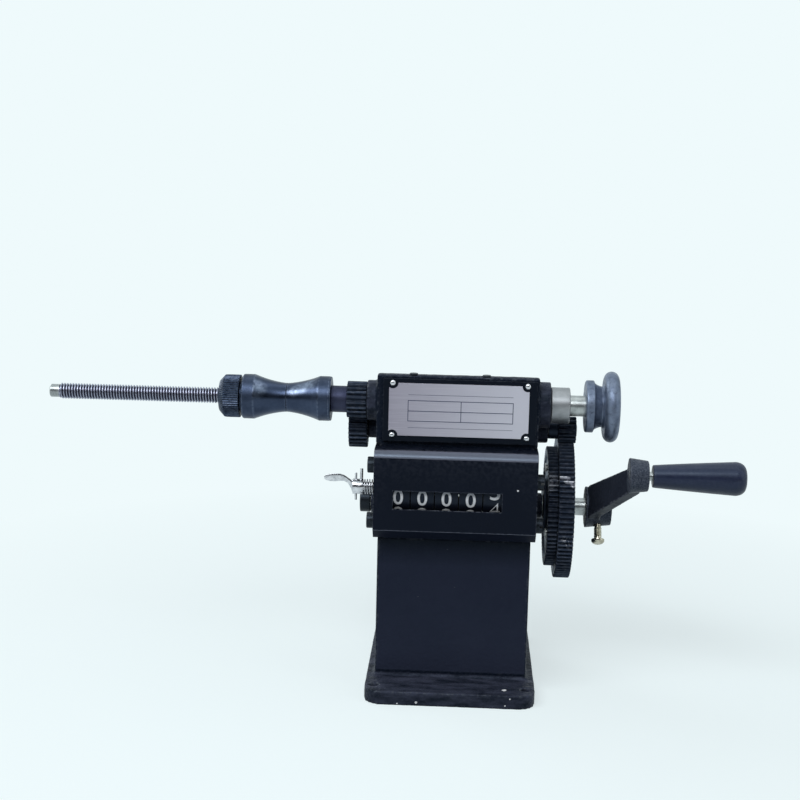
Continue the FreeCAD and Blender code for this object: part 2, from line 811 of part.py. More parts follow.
def side_screw_tools(prefix="casting"):
    return [cylinder("%s_side_hole_%d" % (prefix, index), seated("side_screw_diameter"),
                     "cover_outside-side_wall_inside",
                     (side + "cover_outside", "-side_screw_front", z), "+X" if side == "-" else "-X")
            for index, (side, z) in enumerate(SIDE_SCREWS)]


def build_side_screws():
    screws = []
    for index, (side, z) in enumerate(SIDE_SCREWS):
        at = (side + "cover_outside", "-side_screw_front", z)
        inwards, outwards = ("+X", "-X") if side == "-" else ("-X", "+X")
        shank = cylinder("side_screw_shank_%d" % index, "side_screw_diameter",
                         "cover_outside-side_wall_inside", at, inwards)
        head = cylinder("side_screw_head_%d" % index, "side_screw_head_diameter", "side_screw_head_height",
                        at, outwards)
        screws.append(fuse("side_screw_%d" % index, [shank, head]))
    node(group("cover_screws", screws))


def cover_profile(inset):
    """Side outline of the counter cover, moved inwards by inset: bevelled below and rounded above."""
    front = "(-cover_front+%s)" % inset
    low = "(counter_sill+%s)" % inset
    high = "(cover_top-%s)" % inset
    bevel = "(cover_bevel-%s*(2-sqrt(2)))" % inset
    radius = "(cover_round-%s)" % inset
    back = "-head_front"
    return [
        (back, low),
        ("%s+%s" % (front, bevel), low),
        (front, "%s+%s" % (low, bevel)),
        (front, "%s-%s" % (high, radius)),
        ("%s+%s" % (front, radius), high, radius, +1),
        (back, high),
    ]


def build_counter_cover():
    shell = extruded("cover_shell", sketch("cover_outer", cover_profile("0"), SIDE_PLANE),
                     "2*cover_outside", symmetric=True)
    hollow = extruded("cover_hollow", sketch("cover_inner", cover_profile("cover_sheet"), SIDE_PLANE),
                      "column_width", symmetric=True)
    cheek_size = ("cheek_thickness", "head_front-cover_back", "cover_top-counter_sill")
    cheeks = [
        box("cheek_left", cheek_size, ("-cover_outside", "-head_front", "counter_sill")),
        box("cheek_right", cheek_size, ("column_width/2", "-head_front", "counter_sill")),
    ]
    window = box("window", ("window_right-window_left", "2*cover_sheet",
                            "window_below_axis+window_above_axis"),
                 ("window_left", "-cover_front-cover_sheet/2", "counter_height-window_below_axis"))
    bush_hole = cylinder("cover_bush_hole", seated("reset_bush_diameter"), "2*cover_outside",
                         ("-cover_outside",) + COUNTER)
    body = fuse("cover_body", [cut("cover_box", shell, [hollow])] + cheeks)
    node(cut("counter_cover", body, [window, bush_hole] + side_screw_tools("cover")))


# ---------------------------------------------------------------- counter wheels and drive

def build_number_wheels():
    for place_value, name in enumerate(WHEELS):
        centre = "(units_centre-%d*wheel_pitch)" % place_value
        left = "%s-wheel_width/2" % centre
        rim = cylinder(name + "_rim", "wheel_diameter", "wheel_width", (left,) + COUNTER)
        recess = cylinder(name + "_recess", "wheel_diameter-2*wheel_rim", "wheel_recess",
                          (left,) + COUNTER)
        hub_length = "(wheel_pitch-2*end_play)" if place_value else "wheel_width"
        hub_start = "%s-%s/2" % (centre, hub_length)
        hub = cylinder(name + "_hub", "wheel_hub_diameter", hub_length, (hub_start,) + COUNTER)
        bore = cylinder(name + "_bore", running("reset_shaft_diameter"), "2*wheel_pitch",
                        ("%s-wheel_pitch" % centre,) + COUNTER)
        node(cut(name, fuse(name + "_body", [cut(name + "_drum", rim, [recess]), hub]), [bore]))
    node(gear("units_gear", "units_teeth", "units_gear_width", "units_right", COUNTER,
              running("reset_shaft_diameter"), towards=IDLER, gap=True))


def build_counter_drive():
    node(gear("counter_drive_pinion", "drive_teeth", "drive_width", "idler_gear_start", COUNTERSHAFT,
              seated("countershaft_diameter"), towards=IDLER))
    node(gear("idler_gear", "idler_teeth", "drive_width", "idler_gear_start", IDLER,
              running("idler_axle_diameter"), towards=COUNTERSHAFT, gap=True))
    node(gear("idler_pinion", "idler_pinion_teeth", "idler_gear_start-units_right", "units_right", IDLER,
              running("idler_axle_diameter"), towards=COUNTER))
    clip_start = "units_right-end_play-idler_clip_width"
    node(cylinder("idler_axle", "idler_axle_diameter", "side_wall_inside+blind_depth-(%s)" % clip_start,
                  (clip_start,) + IDLER))
    node(sleeve("idler_clip", "idler_clip_diameter", seated("idler_axle_diameter"), "idler_clip_width",
                clip_start, IDLER))


def build_carry():
    reach = "side_wall_inside+blind_depth-end_play"
    node(cylinder("carry_shaft", "carry_shaft_diameter", "2*(%s)" % reach, ("-(%s)" % reach,) + CARRY))
    pinions = []
    for place_value in range(len(WHEELS) - 1):
        start = "units_centre-(%d+0.5)*wheel_pitch-carry_pinion_width/2" % place_value
        pinions.append(gear("carry_pinion_%d" % place_value, "carry_teeth", "carry_pinion_width", start,
                            CARRY, seated("carry_shaft_diameter")))
    node(group("carry_pinions", pinions))


def build_counter_spacer():
    node(sleeve("counter_spacer", "reset_bush_diameter-end_play", running("reset_shaft_diameter"),
                "side_wall_inside-units_gear_end-end_play", "units_gear_end+end_play/2", COUNTER))


# ---------------------------------------------------------------- reset key

def build_reset_key():
    shaft_left = "key_hub_start-key_hub_length"
    slim = cylinder("reset_shaft_slim", "reset_shaft_diameter", "cover_outside-(key_hub_start)",
                    ("key_hub_start",) + COUNTER)
    hub = cylinder("reset_shaft_hub", "key_hub_diameter", "key_hub_length", (shaft_left,) + COUNTER)
    wing_root = "wing_thickness+2*seat_clearance"
    slot = box("wing_slot", ("key_hub_length/2+seat_clearance", wing_root, "wing_rise+2*seat_clearance"),
               (shaft_left, "-counter_front-(%s)/2" % wing_root,
                "counter_height-wing_rise/2-seat_clearance"))
    pins = [key_pin_hole("cross_pin_hole", "cross_pin"), key_pin_hole("stop_pin_hole", "stop_pin")]
    node(cut("reset_shaft", fuse("reset_shaft_body", [slim, hub]), [slot] + pins))

    root = "key_hub_length/2"
    wing_points = [
        (root, "-wing_rise/2"),
        (root, "wing_rise/2"),
        ("-1.2", "wing_rise/2"),
        ("-0.45*wing_length", "wing_rise", "wing_length", -1),
        ("-0.93*wing_length", "0.83*wing_rise", "1.6*wing_length", +1),
        ("-wing_length", "0.55*wing_rise"),
        ("-0.45*wing_length", "0.25*wing_rise", "2*wing_length", -1),
        ("-0.6", "-wing_rise/2"),
    ]
    outline = sketch("wing_outline", wing_points, FRONT_PLANE,
                     (shaft_left, "wing_thickness/2-counter_front", "counter_height"))
    node(cut("reset_wing", extruded("wing_blade", outline, "wing_thickness", Vector(0, -1, 0)),
             [key_pin_hole("wing_pin_hole", "cross_pin")]))

    node(cylinder("reset_cross_pin", "cross_pin_diameter", "cross_pin_length",
                  ("cross_pin_x", "-counter_front", "counter_height-cross_pin_length/2"), "+Z"))
    node(cylinder("reset_stop_pin", "stop_pin_diameter", "stop_pin_length+key_hub_diameter/2",
                  ("stop_pin_x", "-counter_front", "counter_height-key_hub_diameter/2"), "+Z"))
    build_reset_spring()
    node(sleeve("retaining_ring", "reset_bush_diameter", seated("reset_shaft_diameter"),
                "retaining_ring_width", "end_play/2-side_wall_inside", COUNTER))


def key_pin_hole(name, pin):
    return cylinder(name, seated(pin + "_diameter"), "2*key_hub_diameter",
                    (pin + "_x", "-counter_front", "counter_height-key_hub_diameter"), "+Z")


def build_reset_spring():
    """A coil of half rings, each tilted so that its ends run into its neighbours'."""
    tilt = math.degrees(math.atan2(number("spring_rise"), number("spring_diameter")))
    upper = Rotation(Vector(0, 0, 1), tilt) * SIDE_PLANE
    lower = Rotation(Vector(0, 0, 1), -tilt) * Rotation(Vector(1, 0, 0), 180) * SIDE_PLANE
    rings = []
    for half in range(2 * int(round(number("spring_turns")))):
        ring = doc.addObject("Part::Torus", "spring_ring_%d" % half)
        ring.Angle3 = 180
        bind(ring, "Radius1", "spring_ring_diameter/2")
        bind(ring, "Radius2", "spring_wire/2")
        place(ring, ("key_hub_start+(end_play+spring_wire)/2+(%d+0.5)*spring_rise" % half,) + COUNTER,
              lower if half % 2 else upper)
        rings.append(ring)
    node(fuse("reset_spring", rings))


# ---------------------------------------------------------------- winding spindle

def build_spindle_shaft():
    shaft = [
        ("inner_cone_end-cone_length", "0"),
        ("inner_cone_end-cone_length", "thread_diameter/2"),
        ("inner_cone_end", "thread_diameter/2"),
        ("inner_cone_end", "spindle_diameter/2"),
        ("pulley_start+pulley_width", "spindle_diameter/2"),
        ("pulley_start+pulley_width", "0"),
    ]
    body = revolved("spindle_body", shaft, SPINDLE)
    tip = cylinder("spindle_tip", "tip_diameter", "tip_length+thread_pitch",
                   ("thread_start-tip_length",) + SPINDLE)
    thread = doc.addObject("Part::Feature", "spindle_thread")
    thread.Shape = thread_rings()
    place(thread, ("thread_start",) + SPINDLE)
    return node(fuse("spindle_shaft", [body, tip, thread]))


def thread_rings():
    """The thread as rings at its pitch: root, crest flank, crest land, and back."""
    pitch = number("thread_pitch")
    crest = number("thread_diameter") / 2
    root = crest - number("thread_depth")
    length = number("spindle_reach-cone_length")
    turns = int(length / pitch)
    land = pitch / 8
    points = [Vector(0, 0, 0)]
    for turn in range(turns):
        start = turn * pitch
        points.append(Vector(start, 0, root))
        points.append(Vector(start + pitch / 2 - land, 0, crest))
        points.append(Vector(start + pitch / 2 + land, 0, crest))
    points.append(Vector(turns * pitch, 0, root))
    points.append(Vector(length, 0, root))
    points.append(Vector(length, 0, 0))
    profile = Part.Face(Part.makePolygon(points + points[:1]))
    return profile.revolve(Vector(0, 0, 0), Vector(1, 0, 0), 360)


def cone_points(sign, bore):
    """A former cone from its neck at x = 0 towards the wide end, along X times sign."""
    wide = "cone_diameter/2"
    neck = "cone_neck_diameter/2"
    end = "%scone_length" % sign
    return [
        ("0", bore),
        ("0", neck),
        (sign + "cone_neck_length", neck),
        ("%s(cone_length-cone_land)" % sign, wide, "cone_curve", -1 if sign == "+" else +1),
        ("%s(cone_length-cone_chamfer)" % sign, wide),
        (end, wide + "-cone_chamfer"),
        (end, bore),
    ]


def build_spindle_pieces():
    bore = seated("spindle_diameter")
    node(sleeve("spindle_spacer", "spacer_diameter", bore, "spacer_length", "inner_cone_end", SPINDLE))
    thread_bore = "thread_diameter/2+seat_clearance"
    node(revolved("inner_cone", cone_points("+", thread_bore), SPINDLE, "inner_cone_end-cone_length"))
    node(gear("spindle_gear", "spindle_teeth", "spindle_gear_width", "spacer_end", SPINDLE, bore,
              towards=COUNTERSHAFT, gap=True))
    node(revolved("outer_cone", cone_points("-", "thread_diameter/2+running_clearance"), SPINDLE,
                  "outer_cone_end"))
    collar = revolved("collar_ring", [
        ("0", "spindle_diameter/2+seat_clearance"),
        ("0", "collar_diameter/2-collar_chamfer"),
        ("collar_chamfer", "collar_diameter/2"),
        ("collar_width-collar_chamfer", "collar_diameter/2"),
        ("collar_width", "collar_diameter/2-collar_chamfer"),
        ("collar_width", "spindle_diameter/2+seat_clearance"),
    ], SPINDLE, "collar_start")
    with_set_screw("spindle_collar", collar, "collar_start+collar_width/2", SPINDLE, "spindle_diameter",
                   "collar_diameter", "+Y")


def with_set_screw(name, ring, x, axis, shaft, outer, along):
    """A ring with a radial set screw whose outer end lies just below the ring's surface."""
    sign = along[0]
    depth = "((%s)-(%s))/2" % (outer, shaft)
    if along[1] == "Y":
        at = (x, "%s%s(%s)/2" % (axis[0], sign, shaft), axis[1])
    else:
        at = (x, axis[0], "%s%s(%s)/2" % (axis[1], sign, shaft))
    hole = cylinder(name + "_screw_hole", seated("set_screw_diameter"), depth + "+set_screw_recess", at,
                    along)
    node(cut(name, ring, [hole]))
    screw = cylinder(name + "_screw_blank", "set_screw_diameter", depth + "-set_screw_recess", at, along)
    socket_at = list(at)
    index = 1 if along[1] == "Y" else 2
    socket_at[index] = "%s%s(%s-set_screw_recess-set_screw_socket)" % (at[index], sign, depth)
    socket = cylinder(name + "_socket", "set_screw_diameter/2", "set_screw_socket", tuple(socket_at), along)
    node(cut(name + "_screw", screw, [socket]))


def build_pulley():
    small_end = "pulley_small_width"
    groove_end = "pulley_small_width+pulley_groove_width"
    rim = "pulley_large_width/2"
    bore = "spindle_diameter/2+seat_clearance"
    points = [
        ("0", bore),
        ("0", "pulley_small_diameter/2-pulley_edge"),
        ("pulley_edge", "pulley_small_diameter/2"),
        (small_end + "-pulley_shoulder", "pulley_small_diameter/2"),
        (small_end, "pulley_small_diameter/2-pulley_shoulder"),
        (groove_end, "pulley_groove_diameter/2+pulley_edge", "pulley_groove_width", -1),
        (groove_end, "pulley_large_diameter/2-" + rim),
        (groove_end + "+pulley_large_width", "pulley_large_diameter/2-" + rim,
         rim + "+half_round_allowance", +1),
        (groove_end + "+pulley_large_width", bore),
    ]
    body = revolved("pulley_body", points, SPINDLE, "pulley_start")
    with_set_screw("drive_pulley", body, "pulley_start+pulley_small_width/2", SPINDLE, "spindle_diameter",
                   "pulley_small_diameter", "+Z")


KNURL_LAND = (0.35, 0.65)   # where a ridge's top starts and ends, in shares of the ridge spacing


def knurled_outline(name, at):
    """Round outline with fine straight flutes."""
    flutes = int(number("nut_flutes"))
    outer = number("nut_diameter") / 2
    inner = outer - number("nut_flute_depth")
    points = []
    for flute in range(flutes):
        for radius, share in ((inner, 0.0), (outer, KNURL_LAND[0]), (outer, KNURL_LAND[1])):
            angle = 2 * math.pi * (flute + share) / flutes
            points.append(Vector(0, radius * math.cos(angle), radius * math.sin(angle)))
    outline = doc.addObject("Part::Feature", name)
    outline.Shape = Part.Face(Part.makePolygon(points + points[:1]))
    place(outline, at)
    return outline


def build_clamp_nut():
    wide = "nut_diameter/2+nut_edge"
    start = "nut_end-nut_neck-nut_length"
    envelope = revolved("nut_envelope", [
        ("0", "thread_diameter/2+running_clearance"),
        ("0", "nut_face_diameter/2"),
        ("nut_chamfer", "nut_diameter/2"),
        ("nut_chamfer+nut_edge", wide),
        ("nut_length-2*nut_edge", wide),
        ("nut_length", "nut_diameter/2-nut_edge"),
        ("nut_length", "thread_diameter/2+running_clearance"),
    ], SPINDLE, start)
    knurl = extruded("nut_knurl", knurled_outline("nut_flutes_face", (start,) + SPINDLE), "nut_length")
    rim = doc.addObject("Part::MultiCommon", "nut_rim")
    rim.Shapes = [knurl, envelope]
    neck = sleeve("nut_neck_ring", "nut_neck_diameter", running("thread_diameter"), "nut_neck+nut_edge",
                  "nut_end-nut_neck-nut_edge", SPINDLE)
    node(fuse("clamp_nut", [rim, neck]))


# ---------------------------------------------------------------- countershaft

def build_countershaft():
    start = "gear_end-countershaft_gear_width-countershaft_overhang"
    end = "pinion_start+pinion_width+countershaft_overhang"
    node(cylinder("countershaft", "countershaft_diameter", "%s-(%s)" % (end, start),
                  (start,) + COUNTERSHAFT))
    bore = seated("countershaft_diameter")
    node(gear("countershaft_gear", "countershaft_teeth", "countershaft_gear_width",
              "gear_end-countershaft_gear_width", COUNTERSHAFT, bore, towards=SPINDLE))
    teeth = gear("pinion_teeth_ring", "pinion_teeth", "pinion_width", "pinion_start", COUNTERSHAFT, bore,
                 towards=CRANK, gap=True)
    hub = sleeve("pinion_hub", "pinion_hub_diameter", bore, "pinion_start-boss_face_right-end_play",
                 "boss_face_right+end_play", COUNTERSHAFT)
    node(fuse("countershaft_pinion", [teeth, hub]))


# ---------------------------------------------------------------- crank

def rivet_places():
    for index in range(3):
        angle = "(%d*1deg)" % (90 + index * 120)
        yield ("crank_back+rivet_circle*cos%s" % angle, "crank_height+rivet_circle*sin%s" % angle)


def rivet_holes(name, start, length):
    return [cylinder("%s_%d" % (name, index), seated("rivet_diameter"), length, (start, y, z))
            for index, (y, z) in enumerate(rivet_places())]


def build_crank_gears():
    bore = seated("crank_shaft_diameter")
    node(gear("crank_gear", "crank_teeth", "crank_gear_width", "crank_gear_start", CRANK, bore,
              towards=COUNTERSHAFT,
              holes=rivet_holes("crank_gear_hole", "crank_gear_start", "crank_gear_width")))
    node(gear("second_speed_gear", "second_teeth", "second_gear_width", "second_gear_start", CRANK, bore,
              towards=COUNTERSHAFT,
              holes=rivet_holes("second_gear_hole", "second_gear_start", "second_gear_width")))
    node(sleeve("gear_hub_washer", "hub_washer_diameter", bore, "hub_washer_width", "washer_start", CRANK))
    rivets = []
    for index, (y, z) in enumerate(rivet_places()):
        shank = cylinder("rivet_shank_%d" % index, "rivet_diameter", "second_gear_width+crank_gear_width",
                         ("second_gear_start", y, z))
        inner_head = cylinder("rivet_inner_%d" % index, "rivet_head_diameter", "rivet_head_height",
                              ("second_gear_start-rivet_head_height", y, z))
        outer_head = cylinder("rivet_outer_%d" % index, "rivet_head_diameter", "rivet_head_height",
                              ("crank_gear_end", y, z))
        rivets.append(fuse("rivet_%d" % index, [shank, inner_head, outer_head]))
    node(group("gear_rivets", rivets))


def build_crank_shaft():
    start = "crank_collar_start-crank_collar_width-end_play"
    node(cylinder("crank_shaft", "crank_shaft_diameter", "crank_hub_start+crank_hub_length-(%s)" % start,
                  (start,) + CRANK))
    ring = sleeve("crank_collar_ring", "crank_collar_diameter", seated("crank_shaft_diameter"),
                  "crank_collar_width", "crank_collar_start-crank_collar_width", CRANK)
    with_set_screw("crank_collar", ring, "crank_collar_start-crank_collar_width/2", CRANK,
                   "crank_shaft_diameter", "crank_collar_diameter", "+Y")


def crank_direction():
    """Unit vectors along the arm and square to it, in the plane that the crank swings in."""
    rise = math.radians(number("crank_rise_angle"))
    along = Vector(0, -math.cos(rise), math.sin(rise))
    across = Vector(0, -math.sin(rise), -math.cos(rise))
    return along, across


def arm_web():
    """Flat bar that runs straight at both ends and leans outwards between them."""
    along, across = crank_direction()
    radius = number("crank_radius")
    hub_width = number("arm_width_hub")
    narrowing = (hub_width - number("arm_width_boss")) / radius
    start = Vector(number("arm_start"), number("crank_back"), number("crank_height"))
    thickness = Vector(number("arm_thickness"), 0, 0)
    offset = Vector(number("arm_offset"), 0, 0)
    sections = []
    for reach, shift in ((0, Vector()), (number("arm_lean_start"), Vector()),
                         (number("arm_lean_end"), offset), (radius, offset)):
        centre = start + along * reach + shift
        half_width = across * ((hub_width - narrowing * reach) / 2)
        low = centre - half_width
        high = centre + half_width
        sections.append(Part.makePolygon([low, high, high + thickness, low + thickness, low]))
    return Part.makeLoft(sections, True, True)


def clamp_screw_shape(extra):
    """Clamp screw from the shaft's surface through the hub and out; extra widens it for its hole."""
    _, across = crank_direction()
    axis_x = number("crank_hub_start+crank_hub_length/2")
    centre = Vector(axis_x, number("crank_back"), number("crank_height"))
    start = centre + across * number("crank_shaft_diameter/2")
    length = number("(crank_hub_diameter-crank_shaft_diameter)/2+clamp_screw_exposed")
    shank = Part.makeCylinder(number("clamp_screw_diameter/2") + extra, length, start, across)
    head = Part.makeCylinder(number("clamp_head_diameter/2"), number("clamp_head_height"),
                             start + across * length, across)
    return shank if extra else shank.fuse(head).removeSplitter()


def build_crank_arm():
    web = doc.addObject("Part::Feature", "arm_web")
    web.Shape = arm_web()
    hub = taper("crank_hub", "crank_hub_diameter", "crank_hub_end_diameter", "crank_hub_length",
                ("crank_hub_start",) + CRANK)
    boss = taper("handle_boss", "handle_boss_diameter", "handle_boss_end_diameter", "handle_boss_length",
                 ("handle_boss_start",) + HANDLE)
    hub_bore = cylinder("crank_hub_bore", seated("crank_shaft_diameter"), "crank_hub_length",
                        ("crank_hub_start",) + CRANK)
    boss_bore = cylinder("handle_boss_bore", seated("handle_pin_diameter"), "handle_boss_length",
                         ("handle_boss_start",) + HANDLE)
    screw_hole = doc.addObject("Part::Feature", "clamp_screw_hole")
    screw_hole.Shape = clamp_screw_shape(number("seat_clearance"))
    node(cut("crank_arm", fuse("crank_arm_body", [web, hub, boss]), [hub_bore, boss_bore, screw_hole]))
    screw = doc.addObject("Part::Feature", "crank_clamp_screw")
    screw.Shape = clamp_screw_shape(0)
    node(screw)


def build_handle():
    pin_length = "handle_boss_length+grip_gap+grip_bore_depth-end_play"
    node(cylinder("handle_pin", "handle_pin_diameter", pin_length, ("handle_boss_start",) + HANDLE))
    slim = "grip_diameter/2"
    wide = "grip_end_diameter/2"
    body = "(grip_length-grip_end_curve)"
    node(revolved("handle_grip", [
        ("0", "handle_pin_diameter/2+running_clearance"),
        ("0", slim + "-grip_edge"),
        ("grip_edge", slim),
        (body, wide, "grip_curve", -1),
        ("grip_length", "grip_tip_diameter/2", wide, +1),
        ("grip_length", "0"),
        ("grip_bore_depth", "0"),
        ("grip_bore_depth", "handle_pin_diameter/2+running_clearance"),
    ], HANDLE, "grip_start"))


# ---------------------------------------------------------------- build, check and write

build_casting()
build_bushes()
build_rating_plate()
build_oil_plugs()
build_counter_cover()
build_side_screws()
build_number_wheels()
build_counter_drive()
build_carry()
build_counter_spacer()
build_reset_key()
build_spindle_shaft()
build_spindle_pieces()
build_pulley()
build_clamp_nut()
build_countershaft()
build_crank_gears()
build_crank_shaft()
build_crank_arm()
build_handle()
doc.recompute()

for part in doc.Objects:
    if "Invalid" in part.State or "Error" in part.State:
        raise RuntimeError("%s failed: %s" % (part.Label, part.State))
for part in nodes:
    if part.Shape.isNull() or not part.Shape.isValid() or not part.Shape.Solids:
        raise RuntimeError("%s has no valid solid" % part.Label)

os.makedirs("parts", exist_ok=True)
for part in nodes:
    part.Shape.exportStep(os.path.join("parts", part.Label + ".step"))
print("%d nodes written" % len(nodes))
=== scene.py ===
"""Looks of a hand-crank coil winding machine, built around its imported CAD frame."""
import json
import math

import bmesh
import bpy
import numpy as np
from mathutils import Matrix, Vector, noise


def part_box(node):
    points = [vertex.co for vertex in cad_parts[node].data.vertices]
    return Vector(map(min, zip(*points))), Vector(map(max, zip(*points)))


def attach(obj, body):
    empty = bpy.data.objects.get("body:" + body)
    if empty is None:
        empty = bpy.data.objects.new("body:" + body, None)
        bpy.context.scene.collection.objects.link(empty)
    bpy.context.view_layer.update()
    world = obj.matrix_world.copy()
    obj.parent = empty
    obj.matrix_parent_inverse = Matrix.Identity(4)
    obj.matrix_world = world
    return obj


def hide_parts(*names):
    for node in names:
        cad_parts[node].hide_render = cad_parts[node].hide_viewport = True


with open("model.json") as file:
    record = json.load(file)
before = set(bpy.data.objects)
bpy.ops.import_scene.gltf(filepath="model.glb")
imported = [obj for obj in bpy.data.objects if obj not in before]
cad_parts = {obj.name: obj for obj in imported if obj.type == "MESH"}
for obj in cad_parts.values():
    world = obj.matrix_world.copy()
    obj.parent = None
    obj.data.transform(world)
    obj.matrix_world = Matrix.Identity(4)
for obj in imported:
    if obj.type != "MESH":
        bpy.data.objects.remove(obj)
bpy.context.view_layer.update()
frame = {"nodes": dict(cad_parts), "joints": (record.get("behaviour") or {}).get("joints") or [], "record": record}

MM = 0.001
NODES = frame["nodes"]
RECORD = frame["record"]
BODY_OF = {node: body for body, members in RECORD["behaviour"]["bodies"].items() for node in members}
SLOT_OF = {entry["node"]: entry["material_slot"] for entry in RECORD["subparts"]}
AXIS = {joint["name"]: Vector(joint["pos_m"][1:]) / MM for joint in frame["joints"] if "pos_m" in joint}

SPINDLE = AXIS["spindle_spin"]
CRANK = AXIS["crank_turn"]
COUNTERSHAFT = AXIS["countershaft_spin"]
IDLER = AXIS["idler_spin"]
COUNTER = AXIS["units_spin"]
HANDLE = AXIS["handle_spin"]

# bores of the pieces on each shaft, mm
SPINDLE_BORE = 5.22
COUNTERSHAFT_BORE = 3.52
CRANK_BORE = 4.52
IDLER_BORE = 2.05
COUNTER_BORE = 2.55


# ---------------------------------------------------------------- camera

CAMERA_PLACE = Vector((1.47, -755.97, 269.77)) * MM
CAMERA_RIGHT = Vector((0.99872421, 0.04505304, 0.02280718))
CAMERA_DOWN = Vector((0.02999037, -0.16582934, -0.98569833))
CAMERA_FORWARD = Vector((-0.04062661, 0.98512479, -0.16696893))
CAMERA_LENS = 67.5


def put_in_scene(thing):
    """Puts an object in the scene."""
    bpy.context.scene.collection.objects.link(thing)


def make_camera():
    data = bpy.data.cameras.new("camera")
    data.lens = CAMERA_LENS
    data.sensor_width = 36.0
    data.clip_start = 0.01
    camera = bpy.data.objects.new("camera", data)
    turn = Matrix((CAMERA_RIGHT, -CAMERA_DOWN, -CAMERA_FORWARD)).transposed()
    camera.matrix_world = Matrix.Translation(CAMERA_PLACE) @ turn.to_4x4()
    put_in_scene(camera)
    bpy.context.scene.camera = camera


# ---------------------------------------------------------------- materials

BLUE_SHEEN = (0.62, 0.78, 1.0)


class Surface:
    """Short calls for wiring the nodes of one material. Sizes are in millimetres."""

    def __init__(self, name, metallic=0.0, specular=0.5, coat=0.0, coat_roughness=0.2, tint=(1, 1, 1)):
        self.material = bpy.data.materials.new(name)
        self.material.use_nodes = True
        self.tree = self.material.node_tree
        self.shader = self.tree.nodes["Principled BSDF"]
        self.shader.inputs["Metallic"].default_value = metallic
        self.shader.inputs["Specular IOR Level"].default_value = specular
        self.shader.inputs["Specular Tint"].default_value = (*tint, 1.0)
        self.shader.inputs["Coat Weight"].default_value = coat
        self.shader.inputs["Coat Roughness"].default_value = coat_roughness
        self.place = self.add("ShaderNodeTexCoord").outputs["Object"]
        self.normal = None

    def add(self, kind, inputs=None, **settings):
        node = self.tree.nodes.new(kind)
        for key, value in settings.items():
            setattr(node, key, value)
        for key, value in (inputs or {}).items():
            self.feed(node.inputs[key], value)
        return node

    def feed(self, socket, value):
        if isinstance(value, bpy.types.NodeSocket):
            self.tree.links.new(value, socket)
        elif isinstance(value, tuple) and len(value) == 3 and socket.type == "RGBA":
            socket.default_value = (*value, 1.0)
        else:
            socket.default_value = value

    def noise(self, size, detail=3.0, stretch=(1, 1, 1), rough=0.55, distort=0.0):
        """Smooth noise whose features are about size mm, longer where stretch is above 1."""
        scale = tuple(1.0 / (size * MM * part) for part in stretch)
        mapped = self.add("ShaderNodeMapping", {"Vector": self.place, "Scale": scale})
        return self.add("ShaderNodeTexNoise", {
            "Vector": mapped.outputs["Vector"], "Scale": 1.0, "Detail": detail,
            "Roughness": rough, "Distortion": distort}).outputs["Fac"]

    def cells(self, size):
        mapped = self.add("ShaderNodeMapping", {"Vector": self.place, "Scale": (1 / (size * MM),) * 3})
        return self.add("ShaderNodeTexVoronoi", {"Vector": mapped.outputs["Vector"], "Scale": 1.0},
                        feature="SMOOTH_F1").outputs["Distance"]

    def span(self, value, low, high, to_low=0.0, to_high=1.0):
        return self.add("ShaderNodeMapRange", {
            "Value": value, "From Min": low, "From Max": high,
            "To Min": to_low, "To Max": to_high}).outputs["Result"]

    def times(self, one, other):
        return self.add("ShaderNodeMath", {0: one, 1: other}, operation="MULTIPLY").outputs[0]

    def plus(self, one, other):
        return self.add("ShaderNodeMath", {0: one, 1: other}, operation="ADD", use_clamp=True).outputs[0]

    def mix(self, factor, one, other):
        node = self.add("ShaderNodeMix", data_type="RGBA")
        self.feed(node.inputs["Factor"], factor)
        self.feed(node.inputs[6], one)
        self.feed(node.inputs[7], other)
        return node.outputs[2]

    def attribute(self, name):
        return self.add("ShaderNodeAttribute", attribute_name=name).outputs["Fac"]

    def worn(self, size, detail, low, high):
        """1 on patches of the edges that mark_wear() stores, 0 elsewhere."""
        return self.times(self.span(self.noise(size, detail), low, high), self.attribute("wear"))

    def wander(self, size, detail, low, high):
        """A value that drifts between low and high across the surface."""
        return self.span(self.noise(size, detail), 0.3, 0.7, low, high)

    def near(self, point, radius, softness):
        """1 within radius mm of a point of the object, falling to 0 over softness mm."""
        away = self.add("ShaderNodeVectorMath", {0: self.place, 1: tuple(c * MM for c in point)},
                        operation="DISTANCE").outputs["Value"]
        return self.span(away, radius * MM, (radius + softness) * MM, 1.0, 0.0)

    def bump(self, height, depth, strength=1.0):
        """Adds a relief depth mm deep to the ones added before."""
        node = self.add("ShaderNodeBump", {"Height": height, "Distance": depth * MM, "Strength": strength})
        if self.normal:
            self.feed(node.inputs["Normal"], self.normal)
        self.normal = node.outputs["Normal"]

    def done(self, colour, roughness):
        self.feed(self.shader.inputs["Base Color"], colour)
        self.feed(self.shader.inputs["Roughness"], roughness)
        if self.normal:
            self.feed(self.shader.inputs["Normal"], self.normal)
            if self.shader.inputs["Coat Weight"].default_value:
                self.feed(self.shader.inputs["Coat Normal"], self.normal)
        return self.material


# pale spots on the base, placed from the photograph: place and size in mm
PAINT_CHIPS = (
    ((26.9, -49.8, 6.9), 1.15),
    ((-16.1, -58.0, 1.8), 0.60),
    ((-25.4, -58.0, 0.9), 0.40),
    ((29.6, -58.0, 5.3), 0.35),
    ((27.3, -58.0, 1.8), 0.35),
)

# heights on the column in metres, over which painted light and painted shade change its tone
PAINTED_LIGHT_FOOT = (0.012, 0.050)          # painted light: paler below
COVER_SHADE = (0.0640, 0.0765)       # dark above, where the photograph shows the cover's shadow


